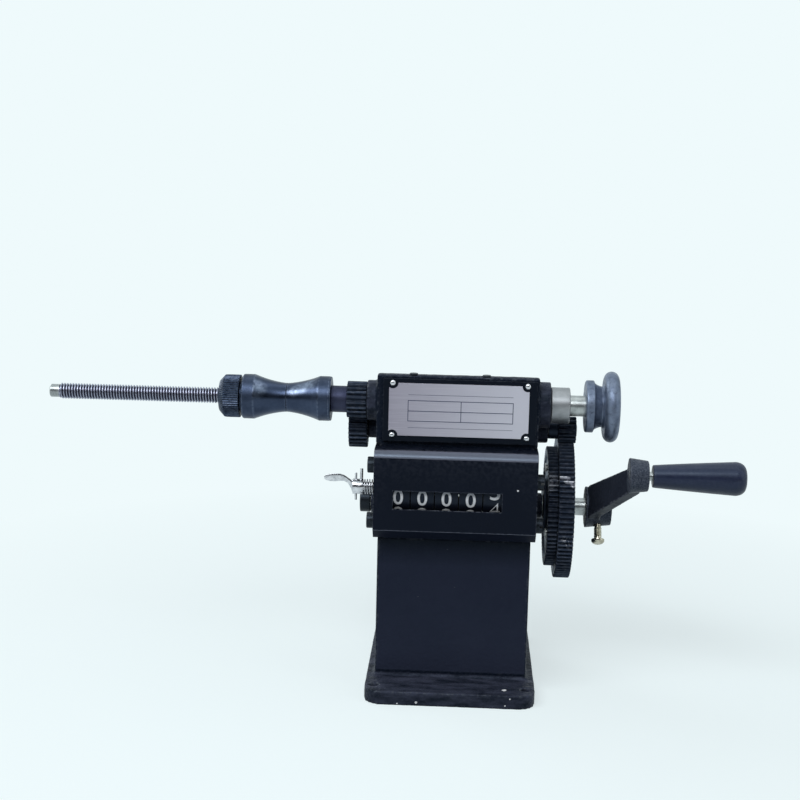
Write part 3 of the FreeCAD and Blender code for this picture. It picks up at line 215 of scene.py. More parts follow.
def wrinkle_enamel():
    """Thick dark enamel on a sand casting: wrinkled, smoother on the column, dust-specked on its rough parts, with
    painted light on the column's foot, the base, the head's bosses and its upward faces, and a painted shadow on
    the column under the cover.
    """
    s = Surface("wrinkle_enamel", specular=0.14, tint=BLUE_SHEEN)
    rough_area = s.attribute("wrinkle")
    tone = s.mix(s.noise(22, 3), (0.0025, 0.0045, 0.0110), (0.0050, 0.0080, 0.0175))
    panel = s.mix(s.noise(26, 3), (0.0135, 0.0175, 0.0330), (0.0215, 0.0260, 0.0470))
    height = s.add("ShaderNodeSeparateXYZ", {"Vector": s.place}).outputs["Z"]
    painted_lit_foot = s.mix(s.noise(26, 3), (0.0200, 0.0250, 0.0450), (0.0300, 0.0360, 0.0630))
    # painted light: the column's panel grows paler towards its foot
    panel = s.mix(s.span(height, *PAINTED_LIGHT_FOOT), painted_lit_foot, panel)
    panel = s.mix(s.times(s.span(height, *COVER_SHADE), 0.95), panel, (0.0010, 0.0020, 0.0040))
    tone = s.mix(rough_area, panel, tone)
    # painted light: a lighter streaky tone on the base, the head's bosses and the head's upward faces
    streaks = s.span(s.noise(3.4, 5, stretch=(4, 1.4, 1.4), rough=0.65), 0.36, 0.66)
    painted_light_areas = s.mix(streaks, (0.0060, 0.0085, 0.0160), (0.0500, 0.0560, 0.0860))
    tone = s.mix(s.attribute("painted_light_areas"), tone, painted_light_areas)
    dusty = s.times(s.times(s.span(s.noise(1.1, 4, rough=0.7), 0.55, 0.72), rough_area), 0.36)
    tone = s.mix(dusty, tone, (0.050, 0.058, 0.078))
    worn = s.worn(2.4, 4, 0.5, 0.62)
    tone = s.mix(worn, tone, (0.08, 0.09, 0.11))
    chip = s.times(s.span(s.noise(3.6, 5, rough=0.62), 0.735, 0.745), rough_area)
    for place, size in PAINT_CHIPS:
        chip = s.plus(chip, s.span(s.near(place, size * 0.5, size), 0.4, 0.6))
    tone = s.mix(chip, tone, (0.88, 0.89, 0.90))
    s.bump(s.noise(1.6, 4, rough=0.6), 0.30, 0.8)
    s.bump(s.times(s.cells(1.3), rough_area), 0.45, 0.7)
    rough = s.span(s.noise(6, 3), 0.35, 0.65, 0.42, 0.58)
    return s.done(tone, rough)


def satin_enamel(name, dark, light, rough=(0.3, 0.42), edge=(0.06, 0.07, 0.09), specular=0.25):
    """Smooth dark enamel on sheet or turned steel, rubbed along its edges; where the edge colour is light, it is
    also a painted highlight.
    """
    s = Surface(name, specular=specular, tint=BLUE_SHEEN)
    tone = s.mix(s.noise(24, 2), dark, light)
    # rubbed edges; a light edge colour makes them a painted highlight as well
    rubbed = s.worn(1.8, 4, 0.42, 0.6)
    tone = s.mix(s.times(rubbed, 0.6), tone, edge)
    s.bump(s.noise(4.5, 2), 0.006, 0.3)
    return s.done(tone, s.wander(18, 2, *rough))


def rough_arm():
    """Enamelled crank casting: a smooth web between a gritty hub and a gritty handle boss."""
    s = Surface("arm_enamel", specular=0.3, tint=BLUE_SHEEN)
    gritty = s.attribute("gritty")
    smooth = s.mix(s.noise(9, 3), (0.0130, 0.0160, 0.0250), (0.0210, 0.0250, 0.0370))
    grains = s.span(s.noise(0.8, 5, rough=0.7), 0.42, 0.66)
    tone = s.mix(gritty, smooth, s.mix(grains, (0.022, 0.028, 0.043), (0.105, 0.118, 0.150)))
    tone = s.mix(s.worn(1.8, 4, 0.42, 0.6), tone, (0.12, 0.13, 0.16))
    s.bump(s.times(s.noise(0.9, 4), gritty), 0.10, 0.8)
    s.bump(s.noise(2.2, 3), 0.02, 0.6)
    return s.done(tone, s.wander(7, 3, 0.42, 0.58))


# light patches on the two cones, where the photograph shows their highlights: place and size in mm
CONE_LIGHT_PATCHES = (
    ((-82.1, -22.5, 148.4), 2.6),
    ((-78.2, -22.0, 150.4), 3.4),
    ((-74.3, -21.4, 152.2), 3.2),
    ((-100.0, -25.0, 150.3), 4.4),
)


def turned_metal(name, dark, light, rough=(0.25, 0.4), patch=9, edge=None, groove=0.012, metallic=1.0,
                 light_patches=()):
    """Lathe-turned metal: cloudy, with fine rings round X, bright edges and light patches."""
    s = Surface(name, metallic=metallic)
    tone = s.mix(s.span(s.noise(patch, 4, rough=0.6), 0.35, 0.65), dark, light)
    rings = s.noise(0.22, 2, stretch=(1, 60, 60))
    tone = s.mix(s.times(s.span(rings, 0.45, 0.75), 0.25), tone, light)
    for place, size in light_patches:
        lit = s.times(s.near(place, size * 0.4, size), s.span(s.noise(2.5, 4), 0.25, 0.6))
        tone = s.mix(s.times(lit, 0.6), tone, (0.30, 0.36, 0.48))
    if edge:
        tone = s.mix(s.worn(1.5, 3, 0.35, 0.55), tone, edge)
    s.bump(rings, groove)
    s.bump(s.noise(1.2, 4), 0.02, 0.5)
    return s.done(tone, s.wander(patch * 0.6, 4, *rough))


def gear_black():
    """Blackened gear steel: bare tips on the teeth, and whitish marks placed from the photograph."""
    s = Surface("gear_black", metallic=0.35, specular=0.25, tint=BLUE_SHEEN)
    tone = s.mix(s.noise(6, 4), (0.012, 0.018, 0.033), (0.036, 0.048, 0.074))
    tips = s.worn(2.2, 4, 0.45, 0.66)
    tone = s.mix(s.times(tips, 0.5), tone, (0.10, 0.11, 0.14))
    smear = s.near((53.0, -26.2, 109.8), 0.7, 1.8)
    smear = s.plus(smear, s.near((55.8, -27.0, 108.2), 0.9, 1.8))
    smear = s.plus(smear, s.near((58.4, -27.6, 106.4), 0.7, 1.6))
    smear = s.times(s.span(smear, 0.25, 0.55), s.span(s.noise(1.6, 4), 0.36, 0.46))
    fleck = s.times(s.near((57.4, -31.4, 78.2), 1.6, 3.2), s.span(s.noise(1.5, 4), 0.53, 0.57))
    worn_rim = s.times(s.near((46.6, -22.5, 107.5), 2.5, 4.5), s.span(s.noise(1.8, 4), 0.44, 0.52))
    fleck = s.plus(fleck, s.times(worn_rim, 0.45))
    tone = s.mix(s.plus(smear, fleck), tone, (0.62, 0.63, 0.68))
    s.bump(s.noise(0.8, 4), 0.04, 0.8)
    return s.done(tone, s.wander(3, 4, 0.36, 0.56))


def thread_steel():
    """Rolled thread: crests bright from rubbing and a painted highlight, over roots dark from oil and painted
    shade.
    """
    s = Surface("thread_steel", metallic=1.0)
    root = s.mix(s.noise(3, 4), (0.018, 0.020, 0.036), (0.070, 0.062, 0.090))
    crest = s.mix(s.noise(5, 4), (0.25, 0.28, 0.36), (0.50, 0.52, 0.62))
    # painted highlight on the crests and painted shade in the roots
    tone = s.mix(s.span(s.attribute("wear"), 0.10, 0.75), root, crest)
    s.bump(s.noise(1.2, 4), 0.02, 0.5)
    return s.done(tone, s.wander(4, 4, 0.34, 0.46))


def die_cast(name, dark, light, stain):
    """Bare die-cast zinc: cloudy grey-blue with dark stains in patches."""
    s = Surface(name, metallic=0.75)
    tone = s.mix(s.span(s.noise(5, 5, rough=0.65), 0.3, 0.7), dark, light)
    tone = s.mix(s.span(s.noise(3.2, 5, rough=0.7), 0.55, 0.75), tone, stain)
    tone = s.mix(s.worn(1.8, 3, 0.4, 0.6), tone, light)
    s.bump(s.noise(1.4, 4), 0.07, 0.8)
    s.bump(s.noise(0.25, 2, stretch=(1, 40, 40)), 0.02, 0.7)
    return s.done(tone, s.wander(4, 4, 0.36, 0.55))


def brushed_plate():
    """Lilac-silver aluminium sheet, brushed along X."""
    s = Surface("brushed_plate", metallic=0.55, specular=0.4)
    brush = s.noise(0.35, 3, stretch=(60, 1, 1))
    across = s.add("ShaderNodeSeparateXYZ", {"Vector": s.place}).outputs["X"]
    # painted light: the plate grows lighter from -X towards +X
    tone = s.mix(s.span(across, -0.034, 0.030), (0.38, 0.355, 0.43), (0.66, 0.655, 0.74))
    tone = s.mix(s.times(s.span(brush, 0.4, 0.7), 0.3), tone, (0.68, 0.67, 0.74))
    s.bump(brush, 0.015, 0.6)
    return s.done(tone, s.wander(4, 3, 0.38, 0.5))


def printed_ink():
    s = Surface("printed_ink", specular=0.3)
    tone = s.mix(s.noise(1.2, 4), (0.035, 0.042, 0.090), (0.11, 0.13, 0.20))
    s.bump(s.noise(0.6, 3), 0.01, 0.5)
    return s.done(tone, s.wander(2, 3, 0.5, 0.65))


def numeral_white():
    s = Surface("numeral_white", specular=0.35)
    tone = s.mix(s.noise(1.5, 4), (0.80, 0.83, 0.86), (0.95, 0.96, 0.97))
    s.bump(s.noise(0.7, 3), 0.01, 0.5)
    return s.done(tone, s.wander(2, 3, 0.4, 0.55))


def bakelite():
    """Moulded bakelite grip: dark blue-black with a soft sheen and faint flow marks."""
    s = Surface("bakelite", specular=0.4, coat=0.05, coat_roughness=0.2, tint=BLUE_SHEEN)
    flow = s.noise(2.5, 4, stretch=(7, 1, 1), distort=0.4)
    tone = s.mix(s.span(flow, 0.3, 0.7), (0.009, 0.012, 0.033), (0.018, 0.023, 0.054))
    tone = s.mix(s.worn(1.5, 3, 0.4, 0.6), tone, (0.09, 0.10, 0.13))
    s.bump(s.noise(1.1, 3), 0.03, 0.5)
    return s.done(tone, s.wander(7, 4, 0.34, 0.46))


def bright_nickel(name="bright_nickel", dark=(0.42, 0.43, 0.46), light=(0.74, 0.75, 0.78),
                  rough=(0.16, 0.3)):
    s = Surface(name, metallic=1.0)
    tone = s.mix(s.span(s.noise(2.2, 4), 0.3, 0.7), dark, light)
    s.bump(s.noise(0.5, 4), 0.02, 0.7)
    return s.done(tone, s.wander(1.6, 4, *rough))


def wheel_black():
    s = Surface("wheel_black", specular=0.22, tint=BLUE_SHEEN)
    tone = s.mix(s.noise(4, 4), (0.0050, 0.0065, 0.0130), (0.0090, 0.0115, 0.0210))
    tone = s.mix(s.worn(1.2, 3, 0.4, 0.6), tone, (0.05, 0.055, 0.06))
    s.bump(s.noise(0.9, 3), 0.02, 0.6)
    return s.done(tone, s.wander(3, 4, 0.30, 0.42))


def make_materials():
    return {
        "casting": wrinkle_enamel(),
        # the cover's light edge colour is rubbed paint and a painted highlight along its edges
        "cover": satin_enamel("cover_enamel", (0.0044, 0.0060, 0.0120), (0.0068, 0.0092, 0.0180),
                              (0.26, 0.32), (0.24, 0.26, 0.32), specular=0.10),
        # painted highlight: a lighter copy of the cover's enamel for its top rounding and lower bend
        "cover_round": satin_enamel("cover_rounding", (0.075, 0.080, 0.105), (0.105, 0.110, 0.145),
                                    (0.28, 0.34), (0.20, 0.21, 0.26), specular=0.7),
        "black_plate": satin_enamel("black_plate", (0.003, 0.0045, 0.009), (0.006, 0.008, 0.014),
                                    specular=0.12),
        # painted light: a lighter copy of the cover's enamel for its downward faces, as if lit from below
        "cover_painted_light_below": satin_enamel("underside_enamel_painted_light", (0.011, 0.015, 0.028), (0.017, 0.023, 0.042),
                                    (0.32, 0.42), specular=0.10),
        "black_screw": satin_enamel("black_screw", (0.008, 0.010, 0.013), (0.020, 0.024, 0.028)),
        "arm": rough_arm(),
        "plate": brushed_plate(),
        "ink": printed_ink(),
        "numeral": numeral_white(),
        "cone": turned_metal("cone_steel", (0.028, 0.039, 0.069), (0.046, 0.062, 0.104), (0.27, 0.33), 11,
                             (0.14, 0.17, 0.24), light_patches=CONE_LIGHT_PATCHES),
        "cone_land": turned_metal("cone_land_steel", (0.028, 0.039, 0.068), (0.045, 0.061, 0.102),
                                  (0.38, 0.48), 8, (0.14, 0.17, 0.24)),
        "spacer": turned_metal("spacer_steel", (0.026, 0.030, 0.058), (0.045, 0.050, 0.085),
                               (0.45, 0.58), 5),
        "nut": turned_metal("nut_steel", (0.012, 0.018, 0.034), (0.036, 0.050, 0.080), (0.32, 0.46), 3,
                            (0.11, 0.13, 0.18)),
        "thread": thread_steel(),
        "shaft": turned_metal("shaft_steel", (0.24, 0.26, 0.265), (0.50, 0.53, 0.53), (0.30, 0.42), 7,
                              (0.66, 0.67, 0.67), groove=0.005),
        "collar": turned_metal("collar_zinc", (0.22, 0.235, 0.25), (0.34, 0.355, 0.375), (0.38, 0.5), 8,
                               (0.5, 0.5, 0.5), metallic=0.7),
        "pulley": die_cast("pulley_zinc", (0.080, 0.108, 0.170), (0.200, 0.240, 0.325),
                           (0.034, 0.045, 0.078)),
        "gear": gear_black(),
        "bronze": turned_metal("bearing_bronze", (0.20, 0.12, 0.05), (0.42, 0.28, 0.13), (0.3, 0.45), 4),
        "brass": turned_metal("counter_brass", (0.32, 0.22, 0.09), (0.58, 0.44, 0.20), (0.28, 0.42), 3),
        "dull_brass": turned_metal("carry_brass", (0.09, 0.065, 0.03), (0.20, 0.15, 0.07), (0.55, 0.65), 3),
        "nickel": bright_nickel(),
        "nickel_brass": bright_nickel("nickel_brass", (0.26, 0.24, 0.18), (0.60, 0.57, 0.47), (0.2, 0.35)),
        "spring": bright_nickel("spring_wire", (0.34, 0.35, 0.38), (0.66, 0.67, 0.70), (0.2, 0.3)),
        "grip": bakelite(),
        "wheel": wheel_black(),
    }


# ---------------------------------------------------------------- mesh helpers, in millimetres

def read_mesh(items, key, width=1, kind=np.float32):
    """One property of all the items of a mesh, as an array with a row for each."""
    values = np.zeros(len(items) * width, kind)
    items.foreach_get(key, values)
    return values.reshape(-1, width) if width > 1 else values


def mark_wear(mesh):
    """Stores on each point how sharply the surface turns outwards there, from 0 to 1."""
    full_turn = math.radians(28)
    vertex = read_mesh(mesh.loops, "vertex_index", kind=np.int32)
    sides = read_mesh(mesh.polygons, "loop_total", kind=np.int32)
    points = read_mesh(mesh.vertices, "co", 3)
    normals = np.repeat(read_mesh(mesh.polygons, "normal", 3), sides, axis=0)
    centres = np.repeat(read_mesh(mesh.polygons, "center", 3), sides, axis=0)
    mean = np.zeros_like(points)
    np.add.at(mean, vertex, normals)
    mean /= np.maximum(np.linalg.norm(mean, axis=1, keepdims=True), 1e-9)
    turn = np.arccos(np.clip((mean[vertex] * normals).sum(1), -1, 1))
    outwards = ((centres - points[vertex]) * mean[vertex]).sum(1) < 0
    wear = np.zeros(len(points), np.float32)
    np.maximum.at(wear, vertex, np.where(outwards, turn / full_turn, 0).astype(np.float32))
    stored = mesh.attributes.new("wear", "FLOAT", "POINT")
    stored.data.foreach_set("value", np.clip(wear, 0, 1))


def finish_piece(name, bm, material, nodes=(), body=None, slot=None, sharp=32):
    """Makes a piece from a bmesh in millimetres. It stands for the CAD nodes named."""
    bmesh.ops.remove_doubles(bm, verts=bm.verts, dist=1e-4)
    bmesh.ops.recalc_face_normals(bm, faces=bm.faces)
    mesh = bpy.data.meshes.new(name)
    bm.to_mesh(mesh)
    bm.free()
    mesh.transform(Matrix.Scale(MM, 4))
    mark_wear(mesh)
    mesh.polygons.foreach_set("use_smooth", np.ones(len(mesh.polygons), bool))
    mesh.set_sharp_from_angle(angle=math.radians(sharp))
    mesh.materials.append(material)
    piece = bpy.data.objects.new(name, mesh)
    put_in_scene(piece)
    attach(piece, body or BODY_OF[nodes[0]])
    if nodes:
        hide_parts(*nodes)
    return piece


def box_mm(node):
    """Lowest and highest corner of a node at rest, in mm."""
    return [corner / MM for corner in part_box(node)]


def extent(node):
    """Start, end and radius in mm of a node that is round about X."""
    low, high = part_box(node)
    return low.x / MM, high.x / MM, (high.z - low.z) / 2 / MM


CORNER_STEPS = 4


def rounded(points, closed):
    """Outline with its corners rounded. A point is (x, y) or (x, y, radius)."""
    outline = []
    points = [point for point, before in zip(points, [None, *points])
              if before is None or (Vector(point[:2]) - Vector(before[:2])).length > 5e-3]
    count = len(points)
    for index, point in enumerate(points):
        here = Vector(point[:2])
        radius = point[2] if len(point) > 2 else 0.0
        if not radius or (not closed and index in (0, count - 1)):
            outline.append(here)
            continue
        before = Vector(points[index - 1][:2]) - here
        after = Vector(points[(index + 1) % count][:2]) - here
        half = before.angle(after) / 2
        if half > math.radians(89):
            outline.append(here)
            continue
        reach = min(radius / math.tan(half), 0.49 * before.length, 0.49 * after.length)
        centre = here + (before.normalized() + after.normalized()).normalized() * (reach / math.cos(half))
        start = here + before.normalized() * reach - centre
        end = here + after.normalized() * reach - centre
        sweep = start.angle_signed(end)
        for step in range(CORNER_STEPS + 1):
            outline.append(centre + Matrix.Rotation(-sweep * step / CORNER_STEPS, 2) @ start)
    return outline


EDGE_MARGIN = 0.35        # how far wear spreads from an edge, mm


def supported(outline, closed):
    """The outline with extra points beside its corners, so that wear stays near the edges."""
    count = len(outline)
    fuller = []
    for index, here in enumerate(outline):
        fuller.append(here)
        following = outline[(index + 1) % count]
        length = (following - here).length
        if length > 4 * EDGE_MARGIN and (closed or index < count - 1):
            share = EDGE_MARGIN / length
            fuller += [here.lerp(following, share), here.lerp(following, 1 - share)]
    return fuller


def turned(bm, points, axis, segments=96, radius_at=None):
    """Adds a turned form. Points are (x, r[, corner radius]); the outline closes on itself,
    or on the axis where its ends have no radius."""
    closed = points[0][1] > 0
    rings = []
    for x, r in supported(rounded(points, closed), closed):
        if r < 1e-6:
            rings.append([bm.verts.new((x, axis[0], axis[1]))])
            continue
        ring = []
        for step in range(segments):
            angle = 2 * math.pi * step / segments
            out = radius_at(r, angle) if radius_at else r
            ring.append(bm.verts.new((x, axis[0] + out * math.cos(angle), axis[1] + out * math.sin(angle))))
        rings.append(ring)
    pairs = list(zip(rings, rings[1:])) + ([(rings[-1], rings[0])] if closed else [])
    for one, other in pairs:
        join_rings(bm, one, other)


def join_rings(bm, one, other):
    if len(one) == 1 and len(other) == 1:
        return
    count = max(len(one), len(other))
    for step in range(count):
        following = (step + 1) % count
        corners = [one[step % len(one)], one[following % len(one)],
                   other[following % len(other)], other[step % len(other)]]
        bm.faces.new([v for i, v in enumerate(corners) if v not in corners[:i]])


def turned_piece(name, points, axis, material, nodes, segments=96, **more):
    bm = bmesh.new()
    turned(bm, points, axis, segments)
    return finish_piece(name, bm, material, nodes, **more)


def tube(start, end, outer, bore, corner):
    return [(start, bore), (start, outer, corner), (end, outer, corner), (end, bore)]


def rod(start, end, radius, corner):
    return [(start, 0), (start, radius, corner), (end, radius, corner), (end, 0)]


FLAT_AREA = 35.0          # a face larger than this is a flat, not part of a rounding, mm2


def dressed(node, material, bevel=0.2, segments=2, sharp_over=30, name=None, margin=0.0):
    """A CAD node's own form with its sharp edges rounded. A margin keeps wear off its flats."""
    bm = bmesh.new()
    bm.from_mesh(NODES[node].data)
    bmesh.ops.scale(bm, vec=(1 / MM,) * 3, verts=bm.verts)
    bmesh.ops.remove_doubles(bm, verts=bm.verts, dist=1e-3)
    bmesh.ops.dissolve_limit(bm, angle_limit=math.radians(0.6), verts=bm.verts, edges=bm.edges)
    edges = [e for e in bm.edges
             if len(e.link_faces) == 2 and e.calc_face_angle(0) > math.radians(sharp_over)]
    bmesh.ops.bevel(bm, geom=edges, offset=bevel, offset_type="OFFSET", segments=segments, profile=0.5,
                    affect="EDGES", clamp_overlap=True)
    if margin:
        flats = [face for face in bm.faces if face.calc_area() > FLAT_AREA]
        bmesh.ops.inset_region(bm, faces=flats, thickness=margin, use_boundary=True, use_even_offset=True)
    return finish_piece(name or node + "_finished", bm, material, [node])


def blended_cast(node, voxel, smoothing):
    """A CAD node's form as one cast skin, with its edges and inner corners run together."""
    source = bpy.data.objects.new(node + "_source", NODES[node].data.copy())
    put_in_scene(source)
    remesh = source.modifiers.new("skin", "REMESH")
    remesh.mode = "VOXEL"
    remesh.voxel_size = voxel * MM
    relax = source.modifiers.new("relax", "SMOOTH")
    relax.factor = 0.5
    relax.iterations = smoothing
    graph = bpy.context.evaluated_depsgraph_get()
    mesh = bpy.data.meshes.new_from_object(source.evaluated_get(graph))
    bpy.data.objects.remove(source)
    bm = bmesh.new()
    bm.from_mesh(mesh)
    bmesh.ops.scale(bm, vec=(1 / MM,) * 3, verts=bm.verts)
    bpy.data.meshes.remove(mesh)
    return bm


# ---------------------------------------------------------------- casting and covers

COLUMN_TOP = 78.0
BASE_TOP = 6.8
BOSS_START = 40.9         # the head's bosses stand further out along X than this
COVER_ROUND = 5.0         # reach of the cover's rounded top edge
PAINT_DOT = Vector((30.56, -40.0, 105.17))
DOT_SEGMENTS = 16
PLATE_SCREW_SEAT = -30.0  # Y of the face that the rating plate's screw heads lie on


def is_smooth_panel(point, normal):
    """The column's front and sides are filled and rubbed down under their paint."""
    on_column = BASE_TOP + 3 < point.z < COLUMN_TOP
    return on_column and (normal.y < -0.9 or abs(normal.x) > 0.9) and point.y < 30


def make_casting(materials):
    bm = blended_cast("frame_casting", 0.75, 3)
    bm.normal_update()
    lumps = 0.16
    low, high = box_mm("frame_casting")
    for vertex in bm.verts:
        share = 0.25 if is_smooth_panel(vertex.co, vertex.normal) else 1.0
        swell = noise.noise(vertex.co / 2.6) * 0.6 + noise.noise(vertex.co / 7.0) * 0.7
        moved = vertex.co + vertex.normal * (swell * lumps * share)
        vertex.co = [max(least, min(most, value)) for least, most, value in zip(low, high, moved)]
    piece = finish_piece("casting_skin", bm, materials["casting"], ["frame_casting"], sharp=70)
    mesh = piece.data
    wrinkle = mesh.attributes.new("wrinkle", "FLOAT", "POINT")
    painted_light_areas = mesh.attributes.new("painted_light_areas", "FLOAT", "POINT")
    for index, vertex in enumerate(mesh.vertices):
        smooth = is_smooth_panel(vertex.co / MM, vertex.normal)
        wrinkle.data[index].value = 0.12 if smooth else 1.0
        # painted light: how strongly the base, the head's bosses and the head's upward faces take the lighter tone
        on_base = vertex.co.z / MM < BASE_TOP + 1.2
        on_head = vertex.co.z / MM > COLUMN_TOP
        on_boss = on_head and abs(vertex.co.x) / MM > BOSS_START
        on_roof = on_head and vertex.normal.z > 0.5
        painted_light_areas.data[index].value = 1.0 if on_base else 0.85 if on_boss else 0.5 if on_roof else 0.0


def make_cover(materials):
    piece = dressed("counter_cover", materials["cover"], bevel=0.45, segments=3, sharp_over=20,
                    name="counter_shell", margin=EDGE_MARGIN)
    piece.data.materials.append(materials["cover_round"])
    piece.data.materials.append(materials["cover_painted_light_below"])
    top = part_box("counter_cover")[1].z / MM
    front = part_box("counter_cover")[0].y / MM
    for face in piece.data.polygons:
        across, height = face.center.y / MM - front, top - face.center.z / MM
        turned_up = face.normal.z > 0.2 and face.normal.y < -0.3
        # painted highlight: the top rounding and the lower bend take the lighter copy of the enamel
        rounding = turned_up and across < COVER_ROUND and height < COVER_ROUND
        bend = across < 0.5 and face.normal.y < -0.3 and -0.66 < face.normal.z < -0.05
        # painted light: the downward faces take the lighter copy of the enamel
        under = face.normal.y < -0.3 and face.normal.z < -0.66
        if abs(face.normal.x) < 0.3:
            face.material_index = 1 if rounding or bend else 2 if under else 0
    bm = bmesh.new()
    turned_dot(bm, PAINT_DOT, 0.45, 0.06)
    finish_piece("cover_paint_dot", bm, materials["numeral"], body="frame", slot="cover_paint")


def turned_dot(bm, centre, radius, height):
    """A low dome that stands on a face towards -Y."""
    rings = [(radius, 0.0), (radius * 0.8, height * 0.7), (radius * 0.4, height), (0, height)]
    made = []
    for r, rise in rings:
        if r == 0:
            made.append([bm.verts.new(centre + Vector((0, -rise, 0)))])
            continue
        made.append([bm.verts.new(centre + Vector((r * math.cos(a), -rise, r * math.sin(a))))
                     for a in (2 * math.pi * k / DOT_SEGMENTS for k in range(DOT_SEGMENTS))])
    for one, other in zip(made, made[1:]):
        join_rings(bm, one, other)
    bm.faces.new(list(reversed(made[0])))


# ---------------------------------------------------------------- rating plate

TABLE_LEFT = -24.4
TABLE_RIGHT = 27.1
TABLE_TOP = 146.7
TABLE_MIDDLE = 141.5
TABLE_BOTTOM = 136.5
TABLE_DIVIDER = 1.6
FAINT_TOP = 149.6
FAINT_BOTTOM = 133.2
RULE_WIDTH = 0.36
RULE_RISE = 0.03


def box_between(bm, low, high):
    corners = [bm.verts.new((x, y, z)) for x in (low[0], high[0]) for y in (low[1], high[1])
               for z in (low[2], high[2])]
    for face in ((0, 1, 3, 2), (4, 6, 7, 5), (0, 4, 5, 1), (2, 3, 7, 6), (0, 2, 6, 4), (1, 5, 7, 3)):
        bm.faces.new([corners[i] for i in face])


def make_plate(materials):
    dressed("plate_backing", materials["black_plate"], bevel=0.35, segments=3, margin=EDGE_MARGIN)
    dressed("rating_plate", materials["plate"], bevel=0.08, segments=1, sharp_over=60)
    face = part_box("rating_plate")[0].y / MM
    bm = bmesh.new()
    half = RULE_WIDTH / 2
    for z in (TABLE_TOP, TABLE_MIDDLE, TABLE_BOTTOM):
        box_between(bm, (TABLE_LEFT - half, face - RULE_RISE, z - half),
                    (TABLE_RIGHT + half, face, z + half))
    for z in (FAINT_TOP, FAINT_BOTTOM):
        box_between(bm, (TABLE_LEFT, face - RULE_RISE, z - half / 2), (TABLE_RIGHT, face, z + half / 2))
    for x in (TABLE_LEFT, TABLE_DIVIDER, TABLE_RIGHT):
        box_between(bm, (x - half, face - RULE_RISE, TABLE_BOTTOM), (x + half, face, TABLE_TOP))
    finish_piece("plate_table", bm, materials["ink"], body="frame", slot="plate_metal")


def solid_boxes(node):
    """Lowest and highest corner in mm of each separate solid of a node."""
    bm = bmesh.new()
    bm.from_mesh(NODES[node].data)
    bmesh.ops.remove_doubles(bm, verts=bm.verts, dist=1e-6)
    left = set(bm.verts)
    found = []
    while left:
        island, front = set(), [left.pop()]
        while front:
            vertex = front.pop()
            island.add(vertex)
            for edge in vertex.link_edges:
                other = edge.other_vert(vertex)
                if other in left:
                    left.remove(other)
                    front.append(other)
        corners = [Vector(pick(v.co[i] for v in island) for i in range(3)) / MM for pick in (min, max)]
        found.append(corners)
    bm.free()
    return sorted(found, key=lambda pair: tuple(round(c, 3) for c in pair[0]))


def add_transformed(bm, part, matrix):
    """Adds one bmesh to another through a matrix."""
    mesh = bpy.data.meshes.new("part")
    part.to_mesh(mesh)
    part.free()
    mesh.transform(matrix)
    bm.from_mesh(mesh)
    bpy.data.meshes.remove(mesh)


def along_x_to(direction, origin):
    """Matrix that carries a form built along +X from the origin to a direction and place."""
    turn = Vector((1, 0, 0)).rotation_difference(Vector(direction)).to_matrix().to_4x4()
    return Matrix.Translation(Vector(origin)) @ turn


def pan_head(bm, origin, direction, radius, height, shank_radius, shank_length):
    """Domed screw head with a cross recess, its shank behind it."""
    part = bmesh.new()
    dome = [(-shank_length, 0), (-shank_length, shank_radius, 0.1), (0, shank_radius), (0, radius, 0.1)]
    for step in range(1, 7):
        angle = math.radians(12 * step)
        dome.append((height * math.sin(angle) / math.sin(math.radians(72)),
                     radius * math.cos(angle * 0.95)))
    dome.append((height, 0))
    turned(part, dome, (0, 0), 40)
    add_transformed(bm, part, along_x_to(direction, origin))


def slotted_head(bm, origin, direction, radius, height, shank_radius, shank_length, slot_width):
    """Cheese head with a straight slot: a disc with two raised halves on it."""
    floor = height * 0.55
    part = bmesh.new()
    turned(part, [(-shank_length, 0), (-shank_length, shank_radius, 0.2), (0, shank_radius),
                  (0, radius, 0.15), (floor, radius), (floor, 0)], (0, 0), 56)
    start = math.asin(slot_width / 2 / radius)
    for side in (0, math.pi):
        arc = [side + start + (math.pi - 2 * start) * step / 26 for step in range(27)]
        low = [part.verts.new((floor, radius * math.cos(a), radius * math.sin(a))) for a in arc]
        mid = [part.verts.new((height - 0.3, radius * math.cos(a), radius * math.sin(a))) for a in arc]
        top = [part.verts.new((height, (radius - 0.3) * math.cos(a), (radius - 0.3) * math.sin(a)))
               for a in arc]
        for one, other in ((low, mid), (mid, top)):
            for k in range(len(arc)):
                following = (k + 1) % len(arc)
                part.faces.new((one[k], one[following], other[following], other[k]))
        part.faces.new(top)
        part.faces.new(list(reversed(low)))
    add_transformed(bm, part, along_x_to(direction, origin))


